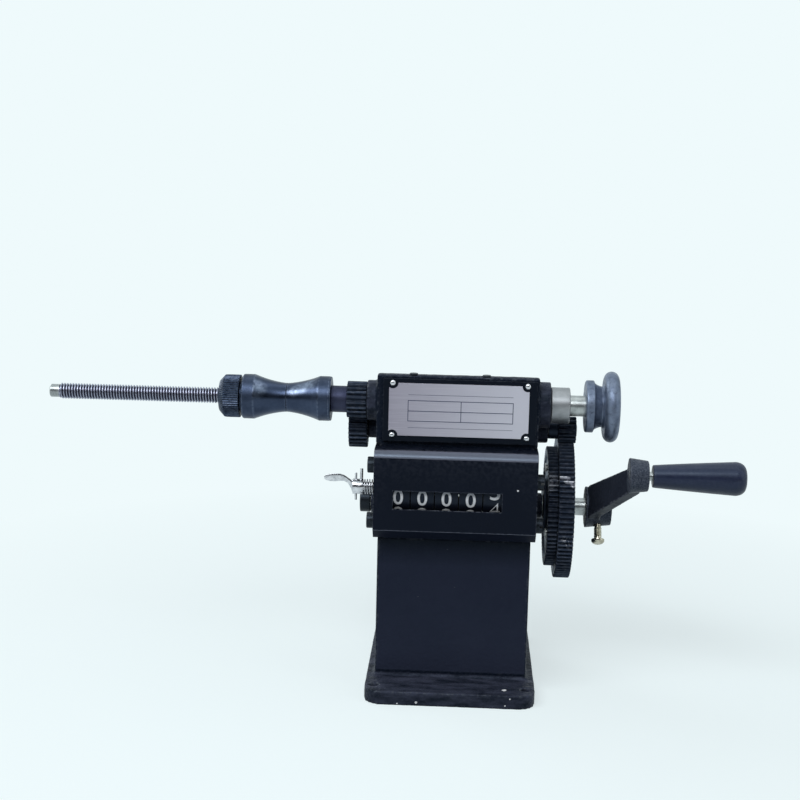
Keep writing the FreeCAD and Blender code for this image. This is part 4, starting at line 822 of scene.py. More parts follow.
def make_small_screws(materials):
    bm = bmesh.new()
    for low, high in solid_boxes("plate_screws"):
        centre = (low + high) / 2
        pan_head(bm, (centre.x, PLATE_SCREW_SEAT, centre.z), (0, -1, 0), (high.x - low.x) / 2,
                 PLATE_SCREW_SEAT - low.y, 1.1, high.y - PLATE_SCREW_SEAT)
    finish_piece("plate_screw_heads", bm, materials["nickel"], ["plate_screws"])
    bm = bmesh.new()
    for low, high in solid_boxes("cover_screws"):
        centre = (low + high) / 2
        side = 1 if centre.x > 0 else -1
        outer = max(abs(low.x), abs(high.x))
        inner = min(abs(low.x), abs(high.x))
        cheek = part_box("counter_cover")[1].x / MM
        slotted_head(bm, (side * cheek, centre.y, centre.z), (side, 0, 0), (high.z - low.z) / 2,
                     outer - cheek, 2.0, cheek - inner, 1.0)
    finish_piece("cover_screw_heads", bm, materials["black_screw"], ["cover_screws"])
    bm = bmesh.new()
    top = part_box("frame_casting")[1].z / MM
    for low, high in solid_boxes("oil_plugs"):
        centre = (low + high) / 2
        part = bmesh.new()
        turned(part, [(low.z - top, 0), (low.z - top, 1.8, 0.2), (0, 1.8), (0, (high.x - low.x) / 2, 0.1),
                      (high.z - top, (high.x - low.x) / 2, 0.45), (high.z - top, 0)], (0, 0), 40)
        add_transformed(bm, part, along_x_to((0, 0, 1), (centre.x, centre.y, top)))
    finish_piece("oil_plug_caps", bm, materials["black_screw"], ["oil_plugs"])


# ---------------------------------------------------------------- gears

MODULE = 0.8
PRESSURE = math.radians(25)
THINNING = 0.08           # play between two gears, mm
TOOTH_CHAMFER = 0.22
BORE_SEGMENTS = 64


def tooth_ring(teeth, first, inset):
    """Corners (radius, angle) of a gear's outline, drawn in by inset mm."""
    pitch = MODULE * teeth / 2
    base = pitch * math.cos(PRESSURE)
    half = math.pi / (2 * teeth) - THINNING / (2 * pitch) + math.tan(PRESSURE) - PRESSURE
    root, tip = pitch - 1.25 * MODULE, pitch + 0.95 * MODULE
    radii = [root + 0.12, (root + pitch) / 2, pitch, (pitch + tip) / 2, tip - 0.1, tip]
    flank = []
    for radius in radii:
        roll = math.acos(min(1.0, base / radius))
        bend = half - math.tan(roll) + roll - inset / radius
        if radius == tip:
            bend -= 0.1 / radius
        flank.append((radius - (inset if radius >= tip - 0.1 else 0), max(bend, 0.15 / radius)))
    step = 2 * math.pi / teeth
    ring = []
    for tooth in range(teeth):
        middle = first + tooth * step
        ring.append((root - inset, middle - step / 2))
        ring += [(radius, middle - bend) for radius, bend in flank]
        ring += [(radius, middle + bend) for radius, bend in reversed(flank)]
    return ring


def phase(axis, towards, teeth, gap):
    away = towards - axis
    return math.atan2(away.y, away.x) + (math.pi / teeth if gap else 0.0)


def gear_form(bm, teeth, axis, start, end, bore, first, dish=None):
    """Adds a spur gear. dish is (inner radius, outer radius, depth) of a shallow recess on both sides."""
    chamfer = TOOTH_CHAMFER
    outline = [(start, chamfer), (start + chamfer, 0.0), (end - chamfer, 0.0), (end, chamfer)]
    rings = []
    for x, inset in outline:
        rings.append([bm.verts.new((x, axis[0] + r * math.cos(a), axis[1] + r * math.sin(a)))
                      for r, a in tooth_ring(teeth, first, inset)])
    for one, other in zip(rings, rings[1:]):
        join_rings(bm, one, other)

    def circle(x, radius):
        angles = [2 * math.pi * k / BORE_SEGMENTS for k in range(BORE_SEGMENTS)]
        return [bm.verts.new((x, axis[0] + radius * math.cos(a), axis[1] + radius * math.sin(a)))
                for a in angles]

    ends = []
    for x, inwards, ring in ((start, 1, rings[0]), (end, -1, rings[-1])):
        bore_rings = [circle(x, bore + chamfer), circle(x + inwards * chamfer, bore)]
        join_rings(bm, *bore_rings)
        ends.append(bore_rings[1])
        if dish:
            inner, outer, depth = dish
            floor = x + inwards * depth
            slope = depth * 0.6
            steps = [circle(x, outer), circle(floor, outer - slope),
                     circle(floor, inner + slope), circle(x, inner)]
            for one, other in zip(steps, steps[1:]):
                join_rings(bm, one, other)
            fill_between(bm, [ring, steps[0]])
            fill_between(bm, [steps[3], bore_rings[0]])
        else:
            fill_between(bm, [ring, bore_rings[0]])
    join_rings(bm, ends[0], ends[1])


def fill_between(bm, loops):
    """Fills the flat face between closed loops of vertices."""
    edges = []
    for loop in loops:
        for one, other in zip(loop, loop[1:] + loop[:1]):
            edges.append(bm.edges.get((one, other)) or bm.edges.new((one, other)))
    bmesh.ops.triangle_fill(bm, use_beauty=True, use_dissolve=False, edges=edges)


def make_gears(materials):
    black, brass = materials["gear"], materials["brass"]
    plans = (
        ("spindle_gear", 21, SPINDLE, COUNTERSHAFT, True, SPINDLE_BORE, black, None),
        ("countershaft_gear", 28, COUNTERSHAFT, SPINDLE, False, COUNTERSHAFT_BORE, black, (6.0, 9.2, 0.8)),
        ("crank_gear", 90, CRANK, COUNTERSHAFT, False, CRANK_BORE, black, (14.5, 31.5, 1.2)),
        ("second_speed_gear", 75, CRANK, COUNTERSHAFT, False, CRANK_BORE, black, (15.5, 26.5, 0.9)),
        ("counter_drive_pinion", 14, COUNTERSHAFT, IDLER, False, COUNTERSHAFT_BORE, brass, None),
        ("idler_gear", 35, IDLER, COUNTERSHAFT, True, IDLER_BORE, brass, (4.5, 11.0, 0.6)),
        ("idler_pinion", 12, IDLER, COUNTER, False, IDLER_BORE, brass, None),
        ("units_gear", 36, COUNTER, IDLER, True, COUNTER_BORE, brass, None),
    )
    for node, teeth, axis, towards, gap, bore, material, dish in plans:
        start, end, _ = extent(node)
        bm = bmesh.new()
        gear_form(bm, teeth, axis, start, end, bore, phase(axis, towards, teeth, gap), dish=dish)
        finish_piece(node + "_cut", bm, material, [node], sharp=28)
    make_pinion(materials)


PINION_TEETH = 15
PINION_WIDTH = 9.0
PINION_HUB = 4.75


def make_pinion(materials):
    start, end, _ = extent("countershaft_pinion")
    bm = bmesh.new()
    gear_form(bm, PINION_TEETH, COUNTERSHAFT, end - PINION_WIDTH, end, COUNTERSHAFT_BORE,
              phase(COUNTERSHAFT, CRANK, PINION_TEETH, True))
    turned(bm, tube(start, end - PINION_WIDTH, PINION_HUB, COUNTERSHAFT_BORE, 0.3), COUNTERSHAFT, 64)
    finish_piece("countershaft_pinion_cut", bm, materials["gear"], ["countershaft_pinion"], sharp=28)


# ---------------------------------------------------------------- spindle

THREAD_PITCH = 1.411
THREAD_DEPTH = 0.82
THREAD_STEPS = 5
THREAD_SEGMENTS = 48


def thread_form(bm, start, end, crest, axis):
    """A right-hand thread: rings of a helical surface, run out flat at both ends."""
    shape = ((0.0, 0.0), (0.12, 0.0), (0.42, 1.0), (0.62, 1.0), (0.92, 0.0))
    turns = int((end - start) / THREAD_PITCH)
    rings = []
    for turn in range(-1, turns + 1):
        for share, height in shape:
            ring = []
            for step in range(THREAD_SEGMENTS):
                part = step / THREAD_SEGMENTS
                angle = 2 * math.pi * part
                x = start + (turn + share + part) * THREAD_PITCH
                fade = max(0.0, min(1.0, (x - start) / 0.8, (end - x) / 0.8))
                r = crest - THREAD_DEPTH * (1 - height * fade)
                x = max(start, min(end, x))
                ring.append(bm.verts.new((x, axis[0] + r * math.cos(angle), axis[1] + r * math.sin(angle))))
            rings.append(ring)
    for index in range(len(rings) - 1):
        one, other = rings[index], rings[index + 1]
        ahead = index + THREAD_STEPS
        for step in range(THREAD_SEGMENTS - 1):
            bm.faces.new((one[step], one[step + 1], other[step + 1], other[step]))
        if ahead + 1 < len(rings):
            bm.faces.new((one[-1], rings[ahead][0], rings[ahead + 1][0], other[-1]))
    return rings


def make_spindle(materials):
    start, end, _ = extent("spindle_shaft")
    tip_radius, tip_length = 3.25, 4.6
    crest = 3.95
    journal = 5.2
    cone_start = extent("outer_cone")[0]
    seat = extent("inner_cone")[1]
    bm = bmesh.new()
    thread_form(bm, start + tip_length, cone_start + 30, crest, SPINDLE)
    core = crest - THREAD_DEPTH - 0.01
    turned(bm, [(start, 0), (start, tip_radius, 0.5), (start + tip_length, tip_radius),
                (start + tip_length, core), (cone_start + 30, core), (cone_start + 30, crest),
                (seat, crest), (seat, journal, 0.3), (end, journal, 0.4), (end, 0)], SPINDLE, 64)
    piece = finish_piece("spindle_turned", bm, materials["thread"], ["spindle_shaft"], sharp=40)
    piece.data.materials.append(materials["shaft"])
    for face in piece.data.polygons:
        along = face.center.x / MM
        face.material_index = 0 if start + tip_length < along < seat else 1

    spacer_start, spacer_end, spacer_radius = extent("spindle_spacer")
    turned_piece("spacer_sleeve", tube(spacer_start, spacer_end, spacer_radius, journal + 0.02, 0.25),
                 SPINDLE, materials["spacer"], ["spindle_spacer"])
    make_cone("inner_cone", +1, materials)
    make_cone("outer_cone", -1, materials)
    make_clamp_nut(materials)
    make_set_collar(materials)
    make_pulley(materials)


CONE_NECK = 7.3
CONE_LAND = 6.0
CONE_CURVE = 55.0


def make_cone(node, sign, materials):
    """Former cone: a hollow-sided taper from its neck up to a short cylinder."""
    low, high, wide = extent(node)
    neck = low if sign > 0 else high
    length = high - low
    bore = 3.97
    taper_start, taper_end = 1.0, length - CONE_LAND
    chord = Vector((taper_end - taper_start, wide - CONE_NECK))
    across = Vector((chord.y, -chord.x)).normalized()
    sag = CONE_CURVE - math.sqrt(CONE_CURVE ** 2 - (chord.length / 2) ** 2)
    points = [(0, bore), (0, CONE_NECK, 0.25)]
    steps = 14
    for step in range(steps + 1):
        share = step / steps
        bulge = sag * (1 - (2 * share - 1) ** 2)
        spot = Vector((taper_start, CONE_NECK)) + chord * share + across * bulge
        points.append((spot.x, spot.y, 0.0))
    points += [(length, wide, 0.9), (length, bore)]
    if sign > 0:
        points[-2:-1] = [(length - 0.9, wide), (length - 0.9, wide - 0.12), (length, wide - 0.12, 0.25)]
    placed = [(neck + sign * x, *rest) for x, *rest in points]
    piece = turned_piece(node + "_turned", placed, SPINDLE, materials["cone"], [node],
                         segments=128, sharp=24)
    piece.data.materials.append(materials["cone_land"])
    land = neck + sign * (taper_end - 0.05)
    for face in piece.data.polygons:
        face.material_index = 1 if sign * (face.center.x / MM - land) > 0 else 0


NUT_FLUTES = 60


def make_clamp_nut(materials):
    start, end, outer = extent("clamp_nut")
    neck = 1.0
    face = end - neck
    depth = 0.4
    taper = 2.6

    def fluted(r, angle):
        if r < outer - 2.4:
            return r
        cut = depth * min(1.0, max(0.0, (r - (outer - 2.4)) / 2.0))
        return r - cut * (0.5 - 0.5 * math.cos(NUT_FLUTES * angle)) ** 0.7

    bm = bmesh.new()
    turned(bm, [(start, 3.99), (start, outer - 3.0, 0.4), (start + taper, outer - 0.1, 0.8),
                (start + taper + 2, outer), (face - 3, outer), (face - 0.1, outer, 0.45),
                (face, outer - 1.2), (face, 7.4), (end, 7.4, 0.2), (end, 3.99)],
           SPINDLE, NUT_FLUTES * 6, fluted)
    finish_piece("clamp_nut_knurled", bm, materials["nut"], ["clamp_nut"], sharp=50)


def make_set_collar(materials):
    start, end, radius = extent("spindle_collar")
    turned_piece("set_collar", tube(start, end, radius, SPINDLE_BORE, 0.5), SPINDLE, materials["collar"],
                 ["spindle_collar"], segments=112)
    make_grub_screw("spindle_collar_screw", (0, 1, 0), materials)


def make_grub_screw(node, direction, materials):
    """Set screw with a hexagon socket, its end just under the ring it holds."""
    low, high = box_mm(node)
    centre = (low + high) / 2
    axis = Vector(direction)
    index = 1 if direction[1] else 2
    origin = centre.copy()
    origin[index] = low[index]
    length = high[index] - low[index]
    radius = (high.x - low.x) / 2
    part = bmesh.new()
    turned(part, [(0, 0), (0, radius, 0.3), (length, radius, 0.25), (length, radius * 0.5),
                  (length - 1.4, radius * 0.5), (length - 1.4, 0)], (0, 0), 6 * 6)
    bm = bmesh.new()
    add_transformed(bm, part, along_x_to(axis, origin))
    finish_piece(node + "_socket", bm, materials["black_screw"], [node])


PULLEY_SMALL = 13.0
PULLEY_GROOVE = 10.15
PULLEY_SMALL_WIDTH = 4.6
PULLEY_GROOVE_WIDTH = 4.6


def make_pulley(materials):
    start, end, rim = extent("drive_pulley")
    groove_start = start + PULLEY_SMALL_WIDTH
    groove_end = groove_start + PULLEY_GROOVE_WIDTH
    crown = (end - groove_end) / 2
    bore = SPINDLE_BORE
    points = [(start, bore), (start, PULLEY_SMALL, 0.9), (groove_start - 0.5, PULLEY_SMALL, 0.8)]
    steps = 12
    for step in range(steps + 1):
        share = step / steps
        angle = math.pi / 2 * share
        points.append((groove_start - 0.3 + (PULLEY_GROOVE_WIDTH - 1.2) * math.sin(angle),
                       PULLEY_SMALL - 0.8 - (PULLEY_SMALL - 0.8 - PULLEY_GROOVE) * math.sin(angle) ** 0.55))
    points.append((groove_end - 0.9, PULLEY_GROOVE))
    points.append((groove_end, PULLEY_GROOVE + 0.9, 0.5))
    for step in range(17):
        angle = math.pi * (1 - step / 16)
        points.append((groove_end + crown + crown * math.cos(angle), rim - crown + crown * math.sin(angle)))
    dish = rim - crown - 0.3
    points += [(end, dish, 0.4), (end - 1.2, dish - 1.4, 0.6), (end - 1.2, 8.6, 0.4), (end, 7.6, 0.5),
               (end, bore)]
    turned_piece("belt_pulley", points, SPINDLE, materials["pulley"], ["drive_pulley"],
                 segments=128, sharp=30)
    make_grub_screw("drive_pulley_screw", (0, 0, 1), materials)


# ---------------------------------------------------------------- shafts, bushes and plain rings

def make_plain_turnings(materials):
    plain_rods = (
        ("countershaft", COUNTERSHAFT, "shaft", 0.5),
        ("crank_shaft", CRANK, "shaft", 0.5),
        ("handle_pin", HANDLE, "shaft", 0.4),
        ("idler_axle", IDLER, "shaft", 0.3),
    )
    for node, axis, material, corner in plain_rods:
        start, end, radius = extent(node)
        turned_piece(node + "_turned", rod(start, end, radius, corner), axis, materials[material],
                     [node], 72)
    plain_rings = (
        ("gear_hub_washer", CRANK, CRANK_BORE, "gear", 0.3),
        ("crank_collar", CRANK, CRANK_BORE, "black_screw", 0.5),
        ("counter_spacer", COUNTER, COUNTER_BORE, "bronze", 0.2),
        ("retaining_ring", COUNTER, 2.52, "spring", 0.15),
        ("idler_clip", IDLER, 2.02, "spring", 0.12),
    )
    for node, axis, bore, material, corner in plain_rings:
        start, end, radius = extent(node)
        turned_piece(node + "_turned", tube(start, end, radius, bore, corner), axis, materials[material],
                     [node], 72)
    make_grub_screw("crank_collar_screw", (0, 1, 0), materials)
    bushes = (
        ("spindle_bushes", SPINDLE, 7.0, 5.25, "bronze"),
        ("countershaft_bushes", COUNTERSHAFT, 5.0, 3.55, "bronze"),
        ("crank_bushes", CRANK, 5.5, 4.55, "nut"),
        ("counter_bushes", COUNTER, 4.0, COUNTER_BORE, "bronze"),
    )
    for node, axis, outer, bore, material in bushes:
        bm = bmesh.new()
        for low, high in solid_boxes(node):
            turned(bm, tube(low.x, high.x, outer, bore, 0.25), axis, 72)
        finish_piece(node + "_turned", bm, materials[material], [node])
    low, high = box_mm("carry_shaft")
    carry_axis = ((low.y + high.y) / 2, (low.z + high.z) / 2)
    turned_piece("carry_rod", rod(low.x, high.x, (high.z - low.z) / 2, 0.2), carry_axis, materials["shaft"],
                 ["carry_shaft"], 40)
    dressed("carry_pinions", materials["dull_brass"], bevel=0.08, segments=1)


# ---------------------------------------------------------------- crank

HUB_RADIUS = 10.6
BOSS_RADIUS = 8.7


def make_crank(materials):
    bm = blended_cast("crank_arm", 0.35, 5)
    bm.normal_update()
    for vertex in bm.verts:
        swell = 0.06 * noise.noise(vertex.co / 1.6) + 0.05 * noise.noise(vertex.co / 5)
        vertex.co += vertex.normal * swell
    piece = finish_piece("crank_arm_cast", bm, materials["arm"], ["crank_arm"], sharp=60)
    gritty = piece.data.attributes.new("gritty", "FLOAT", "POINT")
    for index, vertex in enumerate(piece.data.vertices):
        place = Vector((vertex.co.y, vertex.co.z)) / MM
        from_hub = (place - Vector((CRANK.x, CRANK.y))).length - HUB_RADIUS
        from_boss = (place - Vector((HANDLE.x, HANDLE.y))).length - BOSS_RADIUS
        leaning = abs(vertex.normal.x) > 0.3 and from_boss > 0
        gritty.data[index].value = 0.0 if leaning or min(from_hub, from_boss) > 0.8 else 1.0
    make_clamp_screw(materials)
    make_rivets(materials)
    make_grip(materials)


def make_clamp_screw(materials):
    boss = Vector((HANDLE.x - CRANK.x, HANDLE.y - CRANK.y)).normalized()
    across = Vector((0, -boss.y, boss.x))
    if across.z > 0:
        across = -across
    low, high = box_mm("crank_clamp_screw")
    centre = Vector(((low.x + high.x) / 2, CRANK.x, CRANK.y))
    shaft_radius, shown, head_radius, head_height = 4.5, 6.8, 3.4, 2.5
    shank = 2.0
    head_at = HUB_RADIUS + shown
    part = bmesh.new()
    profile = [(shaft_radius, 0), (shaft_radius, shank, 0.2)]
    ridge = HUB_RADIUS + 0.6
    while ridge < head_at - 1.6:
        profile += [(ridge, shank - 0.3), (ridge + 0.35, shank)]
        ridge += 0.7
    profile += [(head_at - 1.2, shank - 0.15), (head_at, shank - 0.15), (head_at, head_radius, 0.25)]
    for step in range(1, 6):
        angle = math.radians(15 * step)
        profile.append((head_at + 0.6 + (head_height - 0.6) * math.sin(angle),
                        head_radius * math.cos(angle * 0.9)))
    profile.append((head_at + head_height, 0))
    turned(part, profile, (0, 0), 48)
    bm = bmesh.new()
    add_transformed(bm, part, along_x_to(across, centre))
    finish_piece("clamp_screw_turned", bm, materials["nickel_brass"], ["crank_clamp_screw"], sharp=40)


def make_rivets(materials):
    bm = bmesh.new()
    for low, high in solid_boxes("gear_rivets"):
        centre = ((low.y + high.y) / 2, (low.z + high.z) / 2)
        head = (high.z - low.z) / 2
        turned(bm, [(low.x, 0), (low.x, head, 0.35), (low.x + 0.6, head), (low.x + 0.6, 1.5),
                    (high.x - 0.6, 1.5), (high.x - 0.6, head), (high.x, head, 0.35), (high.x, 0)],
               centre, 36)
    finish_piece("gear_rivet_heads", bm, materials["shaft"], ["gear_rivets"])


def make_grip(materials):
    """Bakelite grip: a small end bead, a straight taper to its widest and a full round end."""
    low, high = box_mm("handle_grip")
    start, end = low.x, high.x
    slim, wide = 5.6, (high.z - low.z) / 2
    bore = 2.25
    depth = 32.0
    points = [(start, bore), (start, slim - 0.1, 0.5), (start + 1.2, slim, 0.2)]
    round_end = 5.2
    steps = 18
    for step in range(1, steps + 1):
        share = step / steps
        swell = math.sin(math.pi * share) * 0.25
        points.append((start + 1.2 + (end - round_end - start - 1.2) * share,
                       slim + (wide - slim) * share + swell * 0.4))
    for step in range(1, 13):
        angle = math.pi / 2 * step / 12
        points.append((end - round_end + round_end * math.sin(angle),
                       wide * (0.42 + 0.58 * math.cos(angle) ** 0.8) if step < 12 else wide * 0.42))
    points += [(end, 0)]
    points = [(start + depth, 0), (start + depth, bore)] + points
    turned_piece("handle_grip_moulded", points, HANDLE, materials["grip"], ["handle_grip"],
                 segments=112, sharp=40)


# ---------------------------------------------------------------- counter

WHEEL_NODES = ("units_wheel", "tens_wheel", "hundreds_wheel", "thousands_wheel", "ten_thousands_wheel")
WHEEL_WIDTH = 11.5
DIGIT_HEIGHT = 8.0
DIGIT_WIDTH = 4.9
DIGIT_RISE = 0.04
DIGIT_STEP = math.radians(36)
ZERO_ANGLES = (None, -7.6, -6.6, -6.4, -5.4)   # how far each wheel's zero stands above its axis, degrees
UNITS_FOUR_ANGLE = -26.3


def digit_mesh(text):
    """One numeral, filled, in a box DIGIT_WIDTH wide and DIGIT_HEIGHT high about the origin."""
    curve = bpy.data.curves.new("numeral", "FONT")
    curve.body = text
    curve.size = 10
    curve.offset = -0.2 if text == "4" else 0.12
    curve.resolution_u = 6
    shape = bpy.data.objects.new("numeral", curve)
    put_in_scene(shape)
    graph = bpy.context.evaluated_depsgraph_get()
    mesh = bpy.data.meshes.new_from_object(shape.evaluated_get(graph))
    bpy.data.objects.remove(shape)
    xs = [v.co.x for v in mesh.vertices]
    ys = [v.co.y for v in mesh.vertices]
    width = DIGIT_WIDTH * (0.5 if text == "1" else 1.0)
    for vertex in mesh.vertices:
        vertex.co.x = ((vertex.co.x - min(xs)) / (max(xs) - min(xs)) - 0.5) * width
        vertex.co.y = ((vertex.co.y - min(ys)) / (max(ys) - min(ys)) - 0.5) * DIGIT_HEIGHT
    return mesh


def wrapped_digit(bm, text, centre_x, radius, angle):
    part = bmesh.new()
    mesh = digit_mesh(text)
    part.from_mesh(mesh)
    bpy.data.meshes.remove(mesh)
    cut = -DIGIT_HEIGHT / 2 + 0.4
    while cut < DIGIT_HEIGHT / 2:
        geometry = part.verts[:] + part.edges[:] + part.faces[:]
        bmesh.ops.bisect_plane(part, geom=geometry, plane_co=(0, cut, 0), plane_no=(0, 1, 0))
        cut += 0.4
    sheet = bmesh.ops.extrude_face_region(part, geom=part.faces[:])
    raised = {item for item in sheet["geom"] if isinstance(item, bmesh.types.BMVert)}
    for vertex in part.verts:
        r = radius + (DIGIT_RISE if vertex in raised else -0.05)
        theta = angle + vertex.co.y / radius
        vertex.co = Vector((centre_x + vertex.co.x, COUNTER.x - r * math.cos(theta),
                            COUNTER.y + r * math.sin(theta)))
    add_transformed(bm, part, Matrix.Identity(4))


def make_number_wheels(materials):
    for index, node in enumerate(WHEEL_NODES):
        low, high = box_mm(node)
        centre = (low.x + high.x) / 2
        radius = (high.z - low.z) / 2
        start, end = centre - WHEEL_WIDTH / 2, centre + WHEEL_WIDTH / 2
        hub = 6.0
        bore = COUNTER_BORE
        profile = [(low.x, bore), (low.x, hub, 0.2), (start + 3.0, hub), (start + 3.0, radius - 2.4, 0.3),
                   (start, radius - 2.4), (start, radius, 0.3), (end, radius, 0.3), (end, hub),
                   (high.x, hub, 0.1), (high.x, bore)]
        turned_piece(node + "_drum", profile, COUNTER, materials["wheel"], [node], 120)
        bm = bmesh.new()
        for digit in range(10):
            if index == 0:
                angle = math.radians(UNITS_FOUR_ANGLE) + (digit - 4) * DIGIT_STEP
            else:
                angle = math.radians(ZERO_ANGLES[index]) + digit * DIGIT_STEP
            wrapped_digit(bm, str(digit), centre, radius, angle)
        finish_piece(node + "_numerals", bm, materials["numeral"], body=BODY_OF[node],
                     slot=SLOT_OF[node], sharp=45)


# ---------------------------------------------------------------- reset key

def make_reset_key(materials):
    nickel = materials["nickel"]
    dressed("reset_shaft", nickel, bevel=0.18, segments=2)
    make_reset_wing(nickel)
    for node in ("reset_cross_pin", "reset_stop_pin"):
        low, high = box_mm(node)
        part = bmesh.new()
        turned(part, rod(0, high.z - low.z, (high.x - low.x) / 2, 0.2), (0, 0), 32)
        bm = bmesh.new()
        foot = ((low.x + high.x) / 2, (low.y + high.y) / 2, low.z)
        add_transformed(bm, part, along_x_to((0, 0, 1), foot))
        finish_piece(node + "_turned", bm, nickel, [node])
    make_reset_spring(materials)


def make_reset_wing(material):
    """Thumb leaf, bent up out of the hub's slot and rounded at its tip."""
    high = box_mm("reset_wing")[1]
    root_half = 3.2
    # station: distance out from the hub's face, lower edge, upper edge, sideways bend, half thickness
    hub_face = high.x - 2.6
    stations = (
        (-2.6, -root_half, root_half, 0.0, 0.80),
        (0.2, -root_half, root_half, 0.0, 0.75),
        (1.0, -1.0, 3.3, 0.1, 0.60),
        (2.6, 1.6, 4.4, 0.3, 0.50),
        (4.4, 2.6, 5.7, 0.6, 0.45),
        (6.6, 2.7, 6.4, 0.9, 0.42),
        (9.0, 2.4, 6.5, 1.1, 0.40),
        (11.4, 2.5, 6.2, 1.2, 0.38),
        (13.4, 2.9, 5.7, 1.2, 0.34),
        (14.4, 3.6, 5.0, 1.2, 0.25),
    )
    bm = bmesh.new()
    rings = []
    for out, bottom, top, bend, half in stations:
        ring = []
        middle, rise = (bottom + top) / 2, (top - bottom) / 2
        for step in range(20):
            angle = 2 * math.pi * step / 20
            side = math.copysign(abs(math.cos(angle)) ** 0.6, math.cos(angle))
            up = math.copysign(abs(math.sin(angle)) ** 0.8, math.sin(angle))
            ring.append(bm.verts.new((hub_face - out, COUNTER.x - bend + half * side,
                                      COUNTER.y + middle + rise * up)))
        rings.append(ring)
    for one, other in zip(rings, rings[1:]):
        join_rings(bm, one, other)
    bm.faces.new(rings[0])
    bm.faces.new(list(reversed(rings[-1])))
    bmesh.ops.subdivide_edges(bm, edges=bm.edges[:], cuts=1, smooth=0.6, use_grid_fill=True)
    finish_piece("reset_wing_leaf", bm, material, ["reset_wing"], sharp=60)


SPRING_TURNS = 4


def make_reset_spring(materials):
    low, high = box_mm("reset_spring")
    wire = 0.35
    coil = 3.5
    length = high.x - low.x - 2 * wire
    per_turn, around = 40, 10
    bm = bmesh.new()
    rings = []
    total = SPRING_TURNS * per_turn
    for step in range(total + 1):
        angle = 2 * math.pi * step / per_turn
        outwards = Vector((0, math.cos(angle), math.sin(angle)))
        centre = Vector((low.x + wire + length * step / total, COUNTER.x, COUNTER.y)) + outwards * coil
        ring = []
        for k in range(around):
            turn = 2 * math.pi * k / around
            spoke = outwards * math.cos(turn) + Vector((1, 0, 0)) * math.sin(turn)
            ring.append(bm.verts.new(centre + spoke * wire))
        rings.append(ring)
    for one, other in zip(rings, rings[1:]):
        join_rings(bm, one, other)
    bm.faces.new(rings[0])
    bm.faces.new(list(reversed(rings[-1])))
    finish_piece("reset_spring_wire", bm, materials["spring"], ["reset_spring"], sharp=60)


# ---------------------------------------------------------------- stage and light

def make_stage():
    size, rise, bend = 3.0, 2.2, 0.9
    path = [(-size, 0.0)]
    for step in range(13):
        angle = math.pi / 2 * step / 12
        path.append((1.1 + bend * math.sin(angle), bend - bend * math.cos(angle)))
    path.append((1.1 + bend, rise))
    bm = bmesh.new()
    left = [bm.verts.new((-size, y, z)) for y, z in path]
    right = [bm.verts.new((size, y, z)) for y, z in path]
    for k in range(len(path) - 1):
        bm.faces.new((left[k], right[k], right[k + 1], left[k + 1]))
    mesh = bpy.data.meshes.new("floor")
    bm.to_mesh(mesh)
    bm.free()
    mesh.polygons.foreach_set("use_smooth", np.ones(len(mesh.polygons), bool))
    floor = bpy.data.objects.new("floor", mesh)
    put_in_scene(floor)
    mesh.materials.append(pale_floor())


BACKGROUND = (0.863, 0.956, 0.973)
FLOOR_LIT = (0.37, 0.41, 0.415)
FLOOR_SHARE = 0.35        # how much of the floor's brightness near the machine is real light


def background_rays(tree):
    """1 for the rays that show the background as it is: those seen, mirrored or refracted."""
    path = tree.nodes.new("ShaderNodeLightPath")
    total = path.outputs["Is Camera Ray"]
    for kind in ("Is Glossy Ray", "Is Transmission Ray"):
        both = tree.nodes.new("ShaderNodeMath")
        both.operation = "ADD"
        both.use_clamp = True
        tree.links.new(total, both.inputs[0])
        tree.links.new(path.outputs[kind], both.inputs[1])
        total = both.outputs[0]
    return total


def pale_floor():
    """Pale matt floor that runs into the background, shaded only near the machine."""
    s = Surface("pale_floor", specular=0.0)
    seen = background_rays(s.tree)
    close = s.near((0, 0, 0), 160, 260)
    lit = s.mix(close, (0.0, 0.0, 0.0), FLOOR_LIT)
    glow = s.mix(close, BACKGROUND, tuple(c * (1 - FLOOR_SHARE) for c in BACKGROUND))
    s.feed(s.shader.inputs["Emission Color"], glow)
    s.feed(s.shader.inputs["Emission Strength"], seen)
    return s.done(s.mix(seen, (0.27, 0.30, 0.34), lit), 0.9)


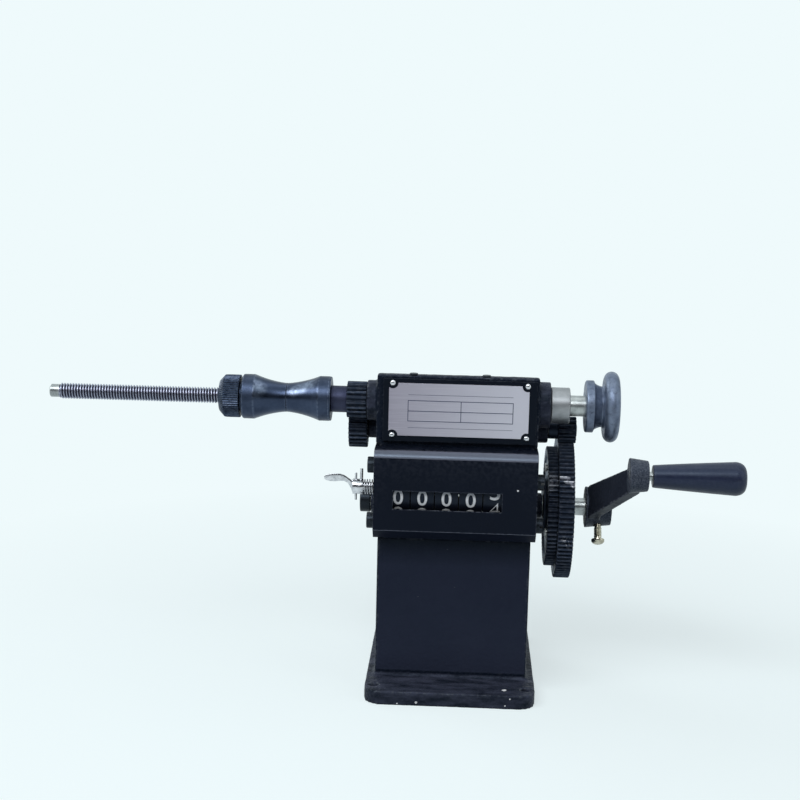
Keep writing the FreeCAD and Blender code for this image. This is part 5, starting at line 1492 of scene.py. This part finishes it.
def make_world():
    world = bpy.data.worlds.new("studio")
    world.use_nodes = True
    tree = world.node_tree
    tree.nodes.clear()
    ambient = tree.nodes.new("ShaderNodeBackground")
    ambient.inputs["Color"].default_value = (0.90, 0.95, 1.0, 1)
    ambient.inputs["Strength"].default_value = 0.13
    shown = tree.nodes.new("ShaderNodeBackground")
    shown.inputs["Color"].default_value = (*BACKGROUND, 1)
    shown.inputs["Strength"].default_value = 1.0
    choose = tree.nodes.new("ShaderNodeMixShader")
    out = tree.nodes.new("ShaderNodeOutputWorld")
    tree.links.new(background_rays(tree), choose.inputs[0])
    tree.links.new(ambient.outputs[0], choose.inputs[1])
    tree.links.new(shown.outputs[0], choose.inputs[2])
    tree.links.new(choose.outputs[0], out.inputs[0])
    bpy.context.scene.world = world


def make_dark_card():
    """A dark card behind the camera, unseen by it, which gives bright metal something dark to mirror."""
    s = Surface("dark_card", specular=0.0)
    half, front, foot, head = 2.4, -1.9, 0.10, 1.6
    mesh = bpy.data.meshes.new("dark_card")
    mesh.from_pydata([(-half, front, foot), (half, front, foot), (half, front, head), (-half, front, head)],
                     [], [(0, 1, 2, 3)])
    mesh.materials.append(s.done(s.mix(s.noise(300), (0.05, 0.06, 0.09), (0.08, 0.09, 0.13)), 0.9))
    card = bpy.data.objects.new("dark_card", mesh)
    card.visible_camera = False
    card.visible_shadow = False
    card.visible_diffuse = False
    put_in_scene(card)


def area_lamp(name, place, target, size, power, colour=(1, 1, 1)):
    data = bpy.data.lights.new(name, "AREA")
    data.shape = "RECTANGLE"
    data.size, data.size_y = size
    data.energy = power
    data.color = colour
    lamp = bpy.data.objects.new(name, data)
    lamp.location = place
    lamp.rotation_euler = (Vector(target) - Vector(place)).to_track_quat("-Z", "Y").to_euler()
    put_in_scene(lamp)


def make_light():
    middle = (-0.02, 0.0, 0.10)
    area_lamp("key", (-0.42, -0.72, 0.98), middle, (1.35, 0.42), 11.0, (0.95, 0.98, 1.0))
    area_lamp("fill", (0.9, -0.5, 0.5), middle, (0.5, 0.7), 1.2, (0.95, 0.98, 1.0))
    area_lamp("top", (0.1, 0.15, 1.1), middle, (1.1, 0.35), 1.2)
    area_lamp("rim", (-0.8, 0.7, 0.55), middle, (0.5, 0.6), 2.0, (0.9, 0.96, 1.0))


# ---------------------------------------------------------------- everything

def main():
    bpy.context.scene.view_settings.view_transform = "Standard"
    make_camera()
    materials = make_materials()
    make_casting(materials)
    make_cover(materials)
    make_plate(materials)
    make_small_screws(materials)
    make_gears(materials)
    make_spindle(materials)
    make_plain_turnings(materials)
    make_crank(materials)
    make_number_wheels(materials)
    make_reset_key(materials)
    make_stage()
    make_dark_card()
    make_world()
    make_light()


main()
